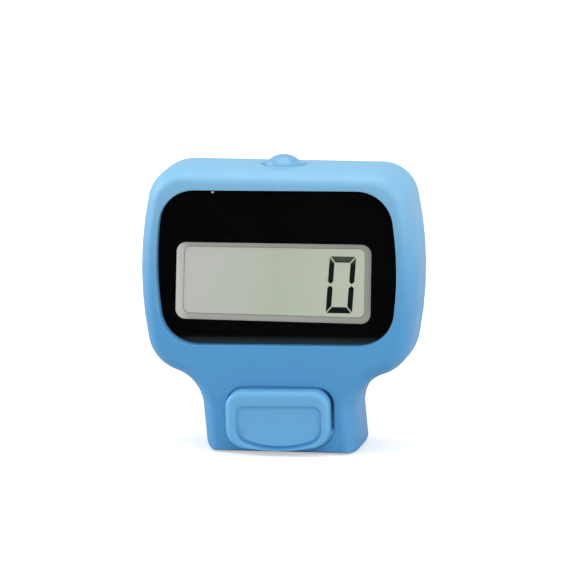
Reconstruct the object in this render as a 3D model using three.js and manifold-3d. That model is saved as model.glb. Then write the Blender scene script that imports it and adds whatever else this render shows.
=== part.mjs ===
// Digital tally counter worn on a finger, in millimetres.
// +X is to the right as the display is read, +Y runs from the front to the back, +Z is up.
// The origin is the centre of the flat foot under the neck.

import * as THREE from 'three';
import { mergeVertices } from 'three/addons/utils/BufferGeometryUtils.js';
import Module from 'manifold-3d';

const wasm = await Module();
wasm.setup();

// Display window and the clear lens in front of it
const windowWidth = 24.6;
const windowHeight = 9.9;
const windowCorner = 1.25;
const windowSideMargin = 2.75;
const windowSill = 2.6;
const windowHeader = 6.75;
const lensBase = 13.75;
const lensCorner = 4.2;
const lensSideRadius = 43;
const lensThickness = 1.25;
const lensEdge = 0.45;
const lensSink = 0.1;
const lensGap = 0.15;
const maskThickness = 0.25;

// Housing
const headBorder = 2.4;
const headTopBorder = 2.6;
const headSill = 4.25;
const headLowCorner = 5.4;
const headTopCorner = 4.8;
const neckWidth = 19.5;
const neckTaper = THREE.MathUtils.degToRad(0.5);
const neckFillet = 4.8;
const footCorner = 2;
const coverDepth = 2.6;
const frontEdge = 1.9;
const frontRound = 4.2;
const rearEdge = 1.7;
const rearRound = 6;
const wall = 1.5;
const rearWall = 1.6;
const seamGap = 0.2;
const lipDepth = 1;
const lipThickness = 0.8;
const lipGap = 0.15;

// Screws through the back cover and the posts that take them
const bossRadius = 1.8;
const lowBossTurn = THREE.MathUtils.degToRad(-56);
const lowBossReach = 2.1;
const highBossTurn = THREE.MathUtils.degToRad(45);
const highBossReach = 1.6;
const screwRadius = 0.8;
const screwHeadRadius = 1.4;
const screwHeadHeight = 0.9;
const screwHeadSink = 0.1;
const screwLength = 5.1;
const screwPilotGap = 0.15;
const screwHoleGap = 0.2;
const driveRadius = 0.6;
const driveDepth = 0.5;
const screwTipShare = 0.5;
const screwRimShare = 0.7;
const screwCrownShare = 0.85;
const driveFloorShare = 0.8;

// Liquid crystal cell, its holder and the rubber connector above it
const opticalGap = 0.1;
const polariserThickness = 0.2;
const glassThickness = 0.7;
const glassMargin = 0.8;
const glassLedge = 1.8;
const glassGap = 0.25;
const holderDepth = 3.8;
const holderWall = 1.2;
const holderShelf = 1.8;
const connectorThickness = 1.3;
const connectorMargin = 3;

// Circuit board
const boardThickness = 1;
const boardMargin = 0.5;
const postRadius = 1.5;
const postPilotRadius = 0.75;
const boardScrewRadius = 0.6;
const boardScrewHead = 1.2;
const boardScrewHeadHeight = 0.7;
const boardScrewGrip = 3;
const lowPostShare = 0.44;
const highPostShare = 0.42;
const chipRadius = 2.4;
const chipHeight = 1.2;
const chipPlace = { x: 10.6, z: 4.8 };
const resistorSize = { x: 1.6, y: 0.6, z: 0.8 };
const resistorPlace = { x: -10.6, z: 3.4 };
const capacitorSize = { x: 0.8, y: 0.8, z: 1.6 };
const capacitorPlace = { x: -10.6, z: -3.6 };

// Button cell, the ring that holds it and its two contacts
const cellRadius = 5.8;
const cellHeight = 3.05;
const cellEdge = 0.35;
const cellStep = 0.3;
const cellTerminalRadius = 4.6;
const cellLift = 0.4;
const cellGap = 0.2;
const cellDrop = 1.4;
const cellRingWall = 1;
const cellRingHeight = 3;
const rearRoom = 5;
const contactThickness = 0.2;
const contactWidth = 3;
const contactFoot = 2;
const contactReach = 4.8;

// Count button on the neck
const buttonSideMargin = 3.05;
const buttonBase = 0.65;
const buttonHeadroom = 1.1;
const buttonTopCorner = 2.2;
const buttonLowCorner = 2.4;
const buttonBaseRadius = 15;
const buttonProud = 2;
const buttonEdge = 0.8;
const buttonGap = 0.25;
const buttonShell = 1;
const buttonFlange = 0.6;
const buttonFlangeThickness = 0.8;
const buttonPostRadius = 1.9;
const buttonTravel = 0.5;
const dishDepth = 0.75;
const dishSideRim = 1.35;
const dishTopRim = 1.6;
const dishLowRim = 0.75;
const dishEdge = 0.4;

// Count switch behind the button
const countSwitchSize = 5.2;
const countPlungerRadius = 1.5;
const countPlungerShow = 0.7;
const plungerHold = 0.8;
const plungerGap = 0.15;

// Reset button in the top of the head
const collarRadius = 2.7;
const collarHeight = 0.3;
const resetRadius = 1.85;
const resetRise = 1.25;
const resetCrown = 0.9;
const resetFlange = 0.55;
const resetFlangeThickness = 0.6;
const resetGap = 0.15;
const resetSeat = 0.1;
const resetTravel = 0.3;
const resetSwitchWidth = 4.6;
const resetSwitchDepth = 1.7;
const resetPlungerRadius = 0.7;
const resetPlungerShow = 0.5;

// Finger band and the bridge that holds it
const bandWidth = 10;
const bandThickness = 1.3;
const fingerRadius = 8.3;
const bandCentre = 17;
const bandCorner = 3.2;
const bandSeat = 0.2;
const bandLapGap = 0.3;
const bandFingerRoom = 8.3;
const bandInnerEnd = THREE.MathUtils.degToRad(48);
const bandOuterEnd = THREE.MathUtils.degToRad(-50);
const bandHoleRadius = 1.3;
const bandPegRadius = 1;
const bandPegHead = 1.6;
const bandPegHeadHeight = 0.8;
const bandHolePitch = THREE.MathUtils.degToRad(26);
const bandHoles = 3;
const bridgeLength = 6;
const bridgeCheek = 1.4;
const bridgeBar = 1.2;
const bridgeCorner = 1.1;

// Shared clearances, cuts and roundness
const partGap = 0.3;
const runningGap = 0.1;
const weld = 0.4;
const overrun = 1;
const facetAngle = THREE.MathUtils.degToRad(10);
const facetLength = 0.8;
const leastFours = 4;
const leastArcSteps = 4;
const edgeSteps = 4;
const leastCorner = 0.2;
const axisNearness = 1e-6;

const quarterTurn = Math.PI / 2;
const halfTurn = Math.PI;

// Lens and head, worked out from the display outwards
const lensHalf = windowWidth / 2 + windowSideMargin;
const windowBase = lensBase + windowSill;
const windowTop = windowBase + windowHeight;
const lensTop = windowTop + windowHeader;
const headHalf = lensHalf + headBorder;
const headBase = lensBase - headSill;
const bodyHeight = lensTop + headTopBorder;
const neckHalf = neckWidth / 2;

// Planes from the front to the back, with the origin half way
const displayDepth = maskThickness + opticalGap + polariserThickness + glassThickness;
const roomDepth = holderDepth + boardThickness + rearRoom;
const bodyDepth = lensSink + lensThickness + displayDepth + roomDepth + rearWall;
const frontFace = -bodyDepth / 2;
const rearFace = bodyDepth / 2;
const seam = rearFace - coverDepth;
const coverInner = rearFace - rearWall;
const lensFront = frontFace + lensSink;
const maskFront = lensFront + lensThickness;
const ledgeFront = maskFront + maskThickness;
const polariserFront = ledgeFront + opticalGap;
const frontGlass = polariserFront + polariserThickness;
const ledgeBack = frontGlass + glassThickness;
const reflectorFront = ledgeBack + glassThickness;
const shelfFront = reflectorFront + polariserThickness;
const boardFront = ledgeBack + holderDepth;
const boardBack = boardFront + boardThickness;

// Liquid crystal cell seen from the front
const glassHalf = windowWidth / 2 + glassMargin;
const glassBase = windowBase - glassMargin;
const rearGlassTop = windowTop + glassMargin;
const frontGlassTop = rearGlassTop + glassLedge;
const connectorBase = rearGlassTop + (glassLedge - connectorThickness) / 2;
const holderBase = glassBase - runningGap - holderWall;
const holderTop = frontGlassTop + runningGap + holderWall;
const holderHalf = glassHalf + runningGap + holderWall;

// Count button and its switch
const buttonHalf = neckHalf - buttonSideMargin;
const buttonTop = headBase - buttonHeadroom;
const buttonCentre = (buttonBase + buttonTop) / 2;
const buttonFace = frontFace - buttonProud;
const flangeFront = ledgeBack + runningGap;
const flangeBack = flangeFront + buttonFlangeThickness;
const countSwitchFront = flangeBack + countPlungerShow;
const countPlungerEnd = countSwitchFront + plungerHold;

// Reset button and its switch
const topInner = bodyHeight - wall;
const resetDepth = boardFront - resetSwitchDepth / 2;
const resetFlangeTop = topInner - resetSeat;
const resetFlangeBase = resetFlangeTop - resetFlangeThickness;
const resetSwitchTop = resetFlangeBase - resetPlungerShow;
const resetSwitchBase = holderTop + buttonGap;
const resetPlungerEnd = resetSwitchTop - plungerHold;

// Button cell behind the display
const cellCentre = (lensBase + lensTop) / 2 - cellDrop;
const cellFront = boardBack + cellLift;
const cellBack = cellFront + cellHeight;
const cellWellRadius = cellRadius + cellGap;
const cellRingRadius = cellWellRadius + cellRingWall;

// Finger band
const bandRadius = fingerRadius + bandThickness / 2;
const bandLap = bandThickness + bandLapGap;
const bandFlat = rearFace + bandSeat + bandThickness / 2;
const bridgeChannel = bandSeat + bandThickness + bandSeat;
const bridgeTop = rearFace + bridgeChannel + bridgeBar;
const bandArcCentre = bridgeTop + bandFingerRoom;
const bandHalf = bandWidth / 2;

const finishes = {
  bluePlastic: { color: 0x5aa5dc, roughness: 0.5, metalness: 0 },
  clearAcrylic: { color: 0xdfe6ea, roughness: 0.05, metalness: 0 },
  blackPrint: { color: 0x08070a, roughness: 0.35, metalness: 0 },
  polariserFilm: { color: 0xb9bdb0, roughness: 0.3, metalness: 0 },
  displayGlass: { color: 0xcdd6cf, roughness: 0.08, metalness: 0 },
  greyReflector: { color: 0xb2b8a8, roughness: 0.45, metalness: 0.1 },
  whitePlastic: { color: 0xe4e4de, roughness: 0.6, metalness: 0 },
  connectorRubber: { color: 0x3a3a3c, roughness: 0.8, metalness: 0 },
  boardLaminate: { color: 0x2f6d47, roughness: 0.5, metalness: 0 },
  blackResin: { color: 0x121214, roughness: 0.4, metalness: 0 },
  componentCeramic: { color: 0xa08a66, roughness: 0.6, metalness: 0 },
  blackPlastic: { color: 0x1b1b1d, roughness: 0.5, metalness: 0 },
  steel: { color: 0xc3c5c8, roughness: 0.3, metalness: 1 },
  springBrass: { color: 0xcaa75a, roughness: 0.3, metalness: 1 },
  blueSilicone: { color: 0x4f99d3, roughness: 0.7, metalness: 0 },
};

const group = new THREE.Group();

// Makes a closed geometry into a solid that can be joined and cut.
function solid(geometry) {
  const bare = geometry.clone();
  bare.deleteAttribute('normal');
  bare.deleteAttribute('uv');
  const merged = mergeVertices(bare);
  const corners = merged.index.array;
  const kept = [];
  for (let i = 0; i < corners.length; i += 3) {
    const [a, b, c] = corners.slice(i, i + 3);
    if (a !== b && b !== c && c !== a) kept.push(a, b, c);
  }
  const vertProperties = merged.attributes.position.array;
  return new wasm.Manifold(new wasm.Mesh({ numProp: 3, vertProperties, triVerts: new Uint32Array(kept) }));
}

// Adds a solid to the model as a named mesh with its finish.
function addPart(name, shape, finish) {
  const mesh = shape.getMesh();
  const geometry = new THREE.BufferGeometry();
  geometry.setAttribute('position', new THREE.BufferAttribute(mesh.vertProperties, 3));
  geometry.setIndex(new THREE.BufferAttribute(mesh.triVerts, 1));
  geometry.computeVertexNormals();
  const part = new THREE.Mesh(geometry, new THREE.MeshStandardMaterial(finishes[finish]));
  part.name = name;
  group.add(part);
}

function joined(solids) {
  return solids.reduce((whole, piece) => whole.add(piece));
}

// A flat-ended prism of an outline drawn in x and z, from one depth to another.
function slab(outline, front, back) {
  const settings = { depth: back - front, bevelEnabled: false };
  const geometry = new THREE.ExtrudeGeometry(new THREE.Shape(outline), settings);
  return solid(geometry.rotateX(quarterTurn).translate(0, back, 0));
}

// A slab with a rounded edge at one end and a plain edge at the other.
// The rounding goes in by the edge and reaches back along the depth by the reach.
function roundedSlab(outline, roundEnd, plainEnd, edge, reach = edge) {
  const away = Math.sign(plainEnd - roundEnd);
  const farEnd = plainEnd + away * 2 * reach;
  const back = Math.max(roundEnd, farEnd);
  const settings = {
    depth: Math.abs(farEnd - roundEnd) - 2 * reach,
    bevelSize: edge,
    bevelThickness: reach,
    bevelOffset: -edge,
    bevelSegments: edgeSteps,
  };
  const geometry = new THREE.ExtrudeGeometry(new THREE.Shape(outline), settings);
  const whole = solid(geometry.rotateX(quarterTurn).translate(0, back - reach, 0));
  const cutEnds = [plainEnd, farEnd + away * overrun].sort((a, b) => a - b);
  return whole.subtract(slab(frameAround(outline), ...cutEnds));
}

// A rectangle that runs past an outline on every side.
function frameAround(outline) {
  const box = new THREE.Box2().setFromPoints(outline).expandByScalar(overrun);
  return [
    new THREE.Vector2(box.min.x, box.min.y),
    new THREE.Vector2(box.max.x, box.min.y),
    new THREE.Vector2(box.max.x, box.max.y),
    new THREE.Vector2(box.min.x, box.max.y),
  ];
}

function box(low, high) {
  const size = high.map((value, axis) => value - low[axis]);
  const middle = high.map((value, axis) => (value + low[axis]) / 2);
  return solid(new THREE.BoxGeometry(...size).translate(...middle));
}

// The number of flats round a circle, a whole number of fours.
function roundSteps(radius) {
  const fours = Math.ceil((halfTurn * radius) / (2 * facetLength));
  return 4 * Math.max(leastFours, fours);
}

// A round rod along the depth, at a place given in x and z.
function depthRod(radius, front, back, place) {
  const rod = new THREE.CylinderGeometry(radius, radius, back - front, roundSteps(radius));
  return solid(rod.translate(place.x, (front + back) / 2, place.z));
}

// A turned form whose axis runs along the depth; each profile point is radius, depth.
function depthTurned(profile, place) {
  const points = profile.map(([radius, depth]) => new THREE.Vector2(radius, depth));
  const widest = Math.max(...points.map((point) => point.x));
  return solid(new THREE.LatheGeometry(points, roundSteps(widest)).translate(place.x, 0, place.z));
}

// A turned form whose axis stands upright; each profile point is radius, height.
function uprightTurned(profile, depth) {
  const points = profile.map(([radius, height]) => new THREE.Vector2(radius, height));
  const widest = Math.max(...points.map((point) => point.x));
  const turned = new THREE.LatheGeometry(points, roundSteps(widest));
  return solid(turned.rotateX(quarterTurn).translate(0, depth, 0));
}

function uprightRod(radius, base, top, depth) {
  return uprightTurned([[0, base], [radius, base], [radius, top], [0, top]], depth);
}

// Points along an arc of a circle, from one angle to another.
function arc(circle, radius, from, to) {
  const steps = Math.max(leastArcSteps, Math.ceil(Math.abs(to - from) / facetAngle));
  const points = [];
  for (let i = 0; i <= steps; i += 1) {
    const angle = from + ((to - from) * i) / steps;
    points.push(new THREE.Vector2(circle.x + radius * Math.cos(angle), circle.z + radius * Math.sin(angle)));
  }
  return points;
}

// Joins arcs that touch end to end, so that each shared point is kept once.
function chain(...arcs) {
  return arcs.flatMap((points, i) => (i === 0 ? points : points.slice(1)));
}

// Closes the right half of an outline with its mirror image.
function mirrored(rightHalf) {
  const offAxis = rightHalf.filter((point) => point.x > axisNearness);
  return [...rightHalf, ...offAxis.map((point) => new THREE.Vector2(-point.x, point.y)).reverse()];
}

function angleTo(from, to) {
  return Math.atan2(to.z - from.z, to.x - from.x);
}

// The circle of a given radius that touches a larger one from inside, its centre at a given height.
function innerCircle(outer, radius, z) {
  const x = outer.x + Math.sqrt((outer.radius - radius) ** 2 - (z - outer.z) ** 2);
  return { x, z, radius };
}

// The three circles on the right of a form whose side bows outwards between two corners.
function bowedSide(half, base, top, lowCorner, topCorner, sideRadius) {
  const side = { x: half - sideRadius, z: (base + top) / 2, radius: sideRadius };
  const low = innerCircle(side, lowCorner, base + lowCorner);
  const high = innerCircle(side, topCorner, top - topCorner);
  return { low, side, high };
}

const head = bowedSide(
  headHalf, headBase, bodyHeight, headLowCorner, headTopCorner, lensSideRadius + headBorder,
);
const lens = bowedSide(lensHalf, lensBase, lensTop, lensCorner, lensCorner, lensSideRadius);

// The way out of the tapered side of the neck, and how far that side is from the origin.
const neckOutward = new THREE.Vector2(Math.cos(neckTaper), -Math.sin(neckTaper));
const neckReach = neckHalf * neckOutward.x + headBase * neckOutward.y;

// The rounded corner of the foot, kept inside the side and base that are drawn in by the inset.
function footCircle(inset) {
  const radius = Math.max(footCorner - inset, leastCorner);
  const x = (neckReach - inset - radius - radius * neckOutward.y) / neckOutward.x;
  return { x, z: inset + radius, radius };
}

// The hollow corner between the neck and the head, touching both from outside.
function filletCircle() {
  const upward = new THREE.Vector2(-neckOutward.y, neckOutward.x);
  const low = new THREE.Vector2(head.low.x, head.low.z);
  const span = headLowCorner + neckFillet;
  const across = neckReach + neckFillet;
  const drop = Math.sqrt(span ** 2 - (across - neckOutward.dot(low)) ** 2);
  const centre = neckOutward.clone().multiplyScalar(across);
  centre.addScaledVector(upward, upward.dot(low) - drop);
  return { x: centre.x, z: centre.y };
}

// The housing seen from the front, drawn in by the inset.
function bodyOutline(inset) {
  const { low, side, high } = head;
  const foot = footCircle(inset);
  const fillet = filletCircle();
  return mirrored([
    ...arc(foot, foot.radius, -quarterTurn, -neckTaper),
    ...chain(
      arc(fillet, neckFillet + inset, halfTurn - neckTaper, angleTo(fillet, low)),
      arc(low, low.radius - inset, angleTo(low, fillet), angleTo(side, low)),
      arc(side, side.radius - inset, angleTo(side, low), angleTo(side, high)),
      arc(high, high.radius - inset, angleTo(side, high), quarterTurn),
    ),
  ]);
}

// The lens seen from the front, drawn in by the inset.
function lensOutline(inset) {
  const { low, side, high } = lens;
  return mirrored(chain(
    arc(low, low.radius - inset, -quarterTurn, angleTo(side, low)),
    arc(side, side.radius - inset, angleTo(side, low), angleTo(side, high)),
    arc(high, high.radius - inset, angleTo(side, high), quarterTurn),
  ));
}

function roundedRectangle(half, base, top, corner) {
  return mirrored([
    ...arc({ x: half - corner, z: base + corner }, corner, -quarterTurn, 0),
    ...arc({ x: half - corner, z: top - corner }, corner, 0, quarterTurn),
  ]);
}

function rectangle(half, base, top) {
  return [[-half, base], [half, base], [half, top], [-half, top]].map(([x, z]) => new THREE.Vector2(x, z));
}

// An outline with a straight top and sides and a base that bows downwards.
function buttonOutline(half, base, top, lowCorner, topCorner, baseRadius) {
  const bow = { x: 0, z: base + baseRadius };
  const lowX = half - lowCorner;
  const low = { x: lowX, z: bow.z - Math.sqrt((baseRadius - lowCorner) ** 2 - lowX ** 2) };
  const high = { x: half - topCorner, z: top - topCorner };
  return mirrored([
    ...chain(
      arc(bow, baseRadius, -quarterTurn, angleTo(bow, low)),
      arc(low, lowCorner, angleTo(bow, low), 0),
    ),
    ...arc(high, topCorner, 0, quarterTurn),
  ]);
}

// The count button seen from the front, drawn in by the inset.
function insetButton(inset) {
  return buttonOutline(
    buttonHalf - inset, buttonBase + inset, buttonTop - inset,
    buttonLowCorner - inset, buttonTopCorner - inset, buttonBaseRadius - inset,
  );
}

// The shallow dish in the face of the count button.
function dishOutline() {
  return buttonOutline(
    buttonHalf - dishSideRim, buttonBase + dishLowRim, buttonTop - dishTopRim,
    buttonLowCorner - dishLowRim, buttonTopCorner - dishSideRim, buttonBaseRadius - dishLowRim,
  );
}

// Places of the four posts that take the screws of the back cover.
function bossPlaces() {
  const onRight = [
    [head.low, lowBossReach, lowBossTurn],
    [head.high, highBossReach, highBossTurn],
  ].map(([corner, reach, turn]) => ({
    x: corner.x + reach * Math.cos(turn),
    z: corner.z + reach * Math.sin(turn),
  }));
  return [...onRight, ...onRight.map(({ x, z }) => ({ x: -x, z }))];
}

// Places of the three posts that carry the circuit board.
function postPlaces() {
  const lowZ = (buttonTop + buttonFlange + holderBase) / 2;
  const highZ = (holderTop + topInner) / 2;
  return [
    { x: headHalf * lowPostShare, z: lowZ },
    { x: -headHalf * lowPostShare, z: lowZ },
    { x: -headHalf * highPostShare, z: highZ },
  ];
}

const bosses = bossPlaces();
const posts = postPlaces();

function rodsAt(places, radius, front, back) {
  return joined(places.map((place) => depthRod(radius, front, back, place)));
}

// The outside of the housing, softly rounded towards its face and its back, from one depth to another.
function housing(front, back) {
  const outline = bodyOutline(0);
  return roundedSlab(outline, frontFace, rearFace, frontEdge, frontRound)
    .intersect(roundedSlab(outline, rearFace, frontFace, rearEdge, rearRound))
    .intersect(slab(frameAround(outline), front, back));
}

function frontCase() {
  const buttonRoom = flangeBack + buttonTravel + runningGap;
  const apertureHalf = glassHalf + glassGap;
  const aperture = roundedRectangle(
    apertureHalf, glassBase - glassGap, frontGlassTop + glassGap, glassGap,
  );
  const collarTop = bodyHeight + collarHeight;
  const screwTip = rearFace - screwHeadSink - screwHeadHeight - screwLength;
  return housing(frontFace, seam)
    .subtract(slab(bodyOutline(wall), ledgeBack, seam + overrun))
    .subtract(slab(lensOutline(-lensGap), frontFace - overrun, ledgeFront))
    .subtract(slab(aperture, ledgeFront - weld, ledgeBack + weld))
    .subtract(slab(insetButton(-buttonGap), frontFace - overrun, buttonRoom))
    .add(rodsAt(bosses, bossRadius, ledgeBack - weld, coverInner))
    .subtract(rodsAt(bosses, screwRadius + screwPilotGap, screwTip - partGap, coverInner + overrun))
    .add(rodsAt(posts, postRadius, ledgeBack - weld, boardFront))
    .subtract(rodsAt(posts, postPilotRadius, boardBack - boardScrewGrip - partGap, boardFront + overrun))
    .add(uprightRod(collarRadius, bodyHeight - weld, collarTop, resetDepth))
    .subtract(uprightRod(resetRadius + resetGap, topInner - weld, collarTop + overrun, resetDepth));
}

function bandBridge() {
  const outerHalf = bandHalf + bandSeat + bridgeCheek;
  const arch = roundedRectangle(outerHalf, rearFace - weld, bridgeTop, bridgeCorner);
  const channel = rectangle(bandHalf + bandSeat, rearFace - overrun, rearFace + bridgeChannel);
  const upright = { depth: bridgeLength, bevelEnabled: false };
  const base = bandCentre - bridgeLength / 2;
  const block = new THREE.ExtrudeGeometry(new THREE.Shape(arch), upright).translate(0, 0, base);
  const opening = new THREE.ExtrudeGeometry(new THREE.Shape(channel), upright).translate(0, 0, base);
  return solid(block).subtract(solid(opening));
}

function backCover() {
  const headFloor = rearFace - screwHeadSink - screwHeadHeight;
  const lipInset = wall + lipGap;
  const lipFront = seam - lipDepth;
  const lip = slab(bodyOutline(lipInset), lipFront, coverInner)
    .subtract(slab(bodyOutline(lipInset + lipThickness), lipFront - overrun, coverInner + overrun));
  return housing(seam + seamGap, rearFace)
    .subtract(slab(bodyOutline(lipInset + lipThickness), seam - overrun, coverInner))
    .add(lip)
    .subtract(rodsAt(bosses, bossRadius + partGap, lipFront - overrun, coverInner))
    .subtract(rodsAt(bosses, screwRadius + screwHoleGap, coverInner - overrun, rearFace + overrun))
    .subtract(rodsAt(bosses, screwHeadRadius + screwHoleGap, headFloor, rearFace + overrun))
    .add(bandBridge());
}

// A pan-headed screw driven from the back, with a round drive recess in its head.
function screw(place, floor, radius, length, headRadius, headHeight) {
  const top = floor + headHeight;
  return depthTurned([
    [0, floor - length],
    [radius * screwTipShare, floor - length],
    [radius, floor - length + radius],
    [radius, floor],
    [headRadius, floor],
    [headRadius, floor + headHeight * screwRimShare],
    [headRadius * screwCrownShare, top],
    [driveRadius, top],
    [driveRadius * driveFloorShare, top - driveDepth],
    [0, top - driveDepth],
  ], place);
}

function addHousing() {
  addPart('front_case', frontCase(), 'bluePlastic');
  addPart('back_cover', backCover(), 'bluePlastic');
  const floor = rearFace - screwHeadSink - screwHeadHeight;
  bosses.forEach((place, i) => {
    const shape = screw(place, floor, screwRadius, screwLength, screwHeadRadius, screwHeadHeight);
    addPart(`case_screw_${i + 1}`, shape, 'steel');
  });
}

function addLens() {
  const clear = roundedSlab(lensOutline(0), lensFront, maskFront, lensEdge);
  addPart('display_window', clear, 'clearAcrylic');
  const opening = roundedRectangle(windowWidth / 2, windowBase, windowTop, windowCorner);
  const mask = slab(lensOutline(0), maskFront, ledgeFront)
    .subtract(slab(opening, maskFront - overrun, ledgeFront + overrun));
  addPart('window_mask', mask, 'blackPrint');
}

function lcdHolder() {
  const pocketHalf = glassHalf + runningGap;
  const connectorHalf = glassHalf - connectorMargin + runningGap;
  const backHalf = glassHalf - holderShelf;
  const pocket = rectangle(pocketHalf, glassBase - runningGap, connectorBase);
  const slot = rectangle(connectorHalf, connectorBase - runningGap, frontGlassTop);
  const back = rectangle(backHalf, glassBase + holderShelf, rearGlassTop - holderShelf);
  return slab(roundedRectangle(holderHalf, holderBase, holderTop, holderWall), ledgeBack, boardFront)
    .subtract(slab(pocket, ledgeBack - overrun, shelfFront))
    .subtract(slab(slot, ledgeBack - overrun, boardFront + overrun))
    .subtract(slab(back, ledgeBack, boardFront + overrun))
    .subtract(rodsAt(bosses, bossRadius + partGap, ledgeBack - overrun, boardFront + overrun));
}

function addDisplay() {
  const filmHalf = glassHalf - runningGap;
  const film = rectangle(filmHalf, glassBase + runningGap, rearGlassTop - runningGap);
  addPart('lcd_polariser', slab(film, polariserFront, frontGlass), 'polariserFilm');
  const front = slab(rectangle(glassHalf, glassBase, frontGlassTop), frontGlass, ledgeBack);
  addPart('lcd_front_glass', front, 'displayGlass');
  const rear = slab(rectangle(glassHalf, glassBase, rearGlassTop), ledgeBack, reflectorFront);
  addPart('lcd_rear_glass', rear, 'displayGlass');
  addPart('lcd_reflector', slab(film, reflectorFront, shelfFront), 'greyReflector');
  addPart('lcd_holder', lcdHolder(), 'whitePlastic');
  const connectorHalf = glassHalf - connectorMargin;
  const connector = rectangle(connectorHalf, connectorBase, connectorBase + connectorThickness);
  addPart('elastomer_connector', slab(connector, ledgeBack, boardFront), 'connectorRubber');
}

function circuitBoard() {
  const notchHalf = collarRadius + partGap;
  const notchBase = resetFlangeBase - resetTravel - runningGap;
  const notch = rectangle(notchHalf, notchBase, bodyHeight);
  return slab(bodyOutline(wall + boardMargin), boardFront, boardBack)
    .subtract(slab(notch, boardFront - overrun, boardBack + overrun))
    .subtract(rodsAt(bosses, bossRadius + partGap, boardFront - overrun, boardBack + overrun))
    .subtract(rodsAt(posts, postPilotRadius, boardFront - overrun, boardBack + overrun));
}

// A small block soldered to the back of the board, placed from the middle of the button cell.
function boardBlock(size, place) {
  const z = cellCentre + place.z;
  return box(
    [place.x - size.x / 2, boardBack, z - size.z / 2],
    [place.x + size.x / 2, boardBack + size.y, z + size.z / 2],
  );
}

// The resin blob over the chip, a cap of a sphere.
function chipBlob() {
  const sphereRadius = (chipRadius ** 2 + chipHeight ** 2) / (2 * chipHeight);
  const sphere = { x: 0, z: chipHeight - sphereRadius };
  const rim = Math.asin((sphereRadius - chipHeight) / sphereRadius);
  const crown = arc(sphere, sphereRadius, rim, quarterTurn).slice(0, -1);
  const profile = crown.map((point) => [point.x, boardBack + Math.max(0, point.y)]);
  const place = { x: chipPlace.x, z: cellCentre + chipPlace.z };
  return depthTurned([[0, boardBack], ...profile, [0, boardBack + chipHeight]], place);
}

function addBoard() {
  addPart('circuit_board', circuitBoard(), 'boardLaminate');
  addPart('chip_resin', chipBlob(), 'blackResin');
  addPart('resistor', boardBlock(resistorSize, resistorPlace), 'blackResin');
  addPart('capacitor', boardBlock(capacitorSize, capacitorPlace), 'componentCeramic');
  posts.forEach((place, i) => {
    const length = boardScrewGrip;
    const shape = screw(place, boardBack, boardScrewRadius, length, boardScrewHead, boardScrewHeadHeight);
    addPart(`board_screw_${i + 1}`, shape, 'steel');
  });
}

function buttonCell() {
  return depthTurned([
    [0, cellFront],
    [cellTerminalRadius, cellFront],
    [cellTerminalRadius, cellFront + cellStep],
    [cellRadius - cellEdge, cellFront + cellStep],
    [cellRadius, cellFront + cellStep + cellEdge],
    [cellRadius, cellBack - cellEdge],
    [cellRadius - cellEdge, cellBack],
    [0, cellBack],
  ], { x: 0, z: cellCentre });
}

// A bent strip of contact metal: its side profile in x and y, as wide as the contact in z.
function contactStrip(profile) {
  const shape = new THREE.Shape(profile.map(([x, y]) => new THREE.Vector2(x, y)));
  const strip = new THREE.ExtrudeGeometry(shape, { depth: contactWidth, bevelEnabled: false });
  return solid(strip.translate(0, 0, cellCentre - contactWidth / 2));
}

// A leaf that rests on the board at both ends and rises to the cell in the middle.
function negativeContact() {
  const rise = cellLift - contactThickness;
  const crest = contactWidth / 2;
  return contactStrip([
    [-contactReach, boardBack],
    [-contactReach + contactFoot, boardBack],
    [-crest, boardBack + rise],
    [crest, boardBack + rise],
    [contactReach - contactFoot, boardBack],
    [contactReach, boardBack],
    [contactReach, boardBack + contactThickness],
    [contactReach - contactFoot, boardBack + contactThickness],
    [crest, cellFront],
    [-crest, cellFront],
    [-contactReach + contactFoot, boardBack + contactThickness],
    [-contactReach, boardBack + contactThickness],
  ]);
}

// A clip that stands on the board beside the ring and reaches over the back of the cell.
function positiveContact() {
  const inner = cellRingRadius + partGap;
  const outer = inner + contactThickness;
  const tip = cellRadius - contactReach;
  return contactStrip([
    [inner, boardBack],
    [outer + contactFoot, boardBack],
    [outer + contactFoot, boardBack + contactThickness],
    [outer, boardBack + contactThickness],
    [outer, cellBack + contactThickness],
    [tip, cellBack + contactThickness],
    [tip, cellBack],
    [inner, cellBack],
  ]);
}

function addCell() {
  const place = { x: 0, z: cellCentre };
  const ringBack = boardBack + cellRingHeight;
  const ring = depthRod(cellRingRadius, boardBack, ringBack, place)
    .subtract(depthRod(cellWellRadius, boardBack - overrun, ringBack + overrun, place));
  addPart('battery_holder', ring, 'blackPlastic');
  addPart('button_cell', buttonCell(), 'steel');
  addPart('battery_contact_negative', negativeContact(), 'springBrass');
  addPart('battery_contact_positive', positiveContact(), 'springBrass');
}

// A moulded key: rounded rim, dish in its face, hollow behind, a flange and a middle post.
function countButton() {
  const flange = slab(insetButton(-buttonFlange), flangeFront, flangeBack)
    .intersect(slab(bodyOutline(wall + buttonGap), flangeFront - overrun, flangeBack + overrun));
  const dish = roundedSlab(dishOutline(), buttonFace + dishDepth, buttonFace - overrun, dishEdge);
  const hollowFront = buttonFace + dishDepth + buttonShell;
  const hollow = slab(insetButton(buttonShell), hollowFront, flangeBack + overrun);
  const place = { x: 0, z: buttonCentre };
  return roundedSlab(insetButton(0), buttonFace, flangeFront + weld, buttonEdge)
    .subtract(box(
      [-neckHalf, flangeFront, 0],
      [neckHalf, flangeBack, wall + buttonGap],
    ))
    .add(flange)
    .subtract(dish)
    .subtract(hollow)
    .add(depthRod(buttonPostRadius, hollowFront - weld, flangeBack, place));
}

function countSwitch() {
  const half = countSwitchSize / 2;
  const place = { x: 0, z: buttonCentre };
  const bore = depthRod(
    countPlungerRadius + plungerGap,
    countSwitchFront - overrun,
    countPlungerEnd + buttonTravel + runningGap,
    place,
  );
  return box([-half, countSwitchFront, buttonCentre - half], [half, boardFront, buttonCentre + half])
    .subtract(bore);
}

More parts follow.
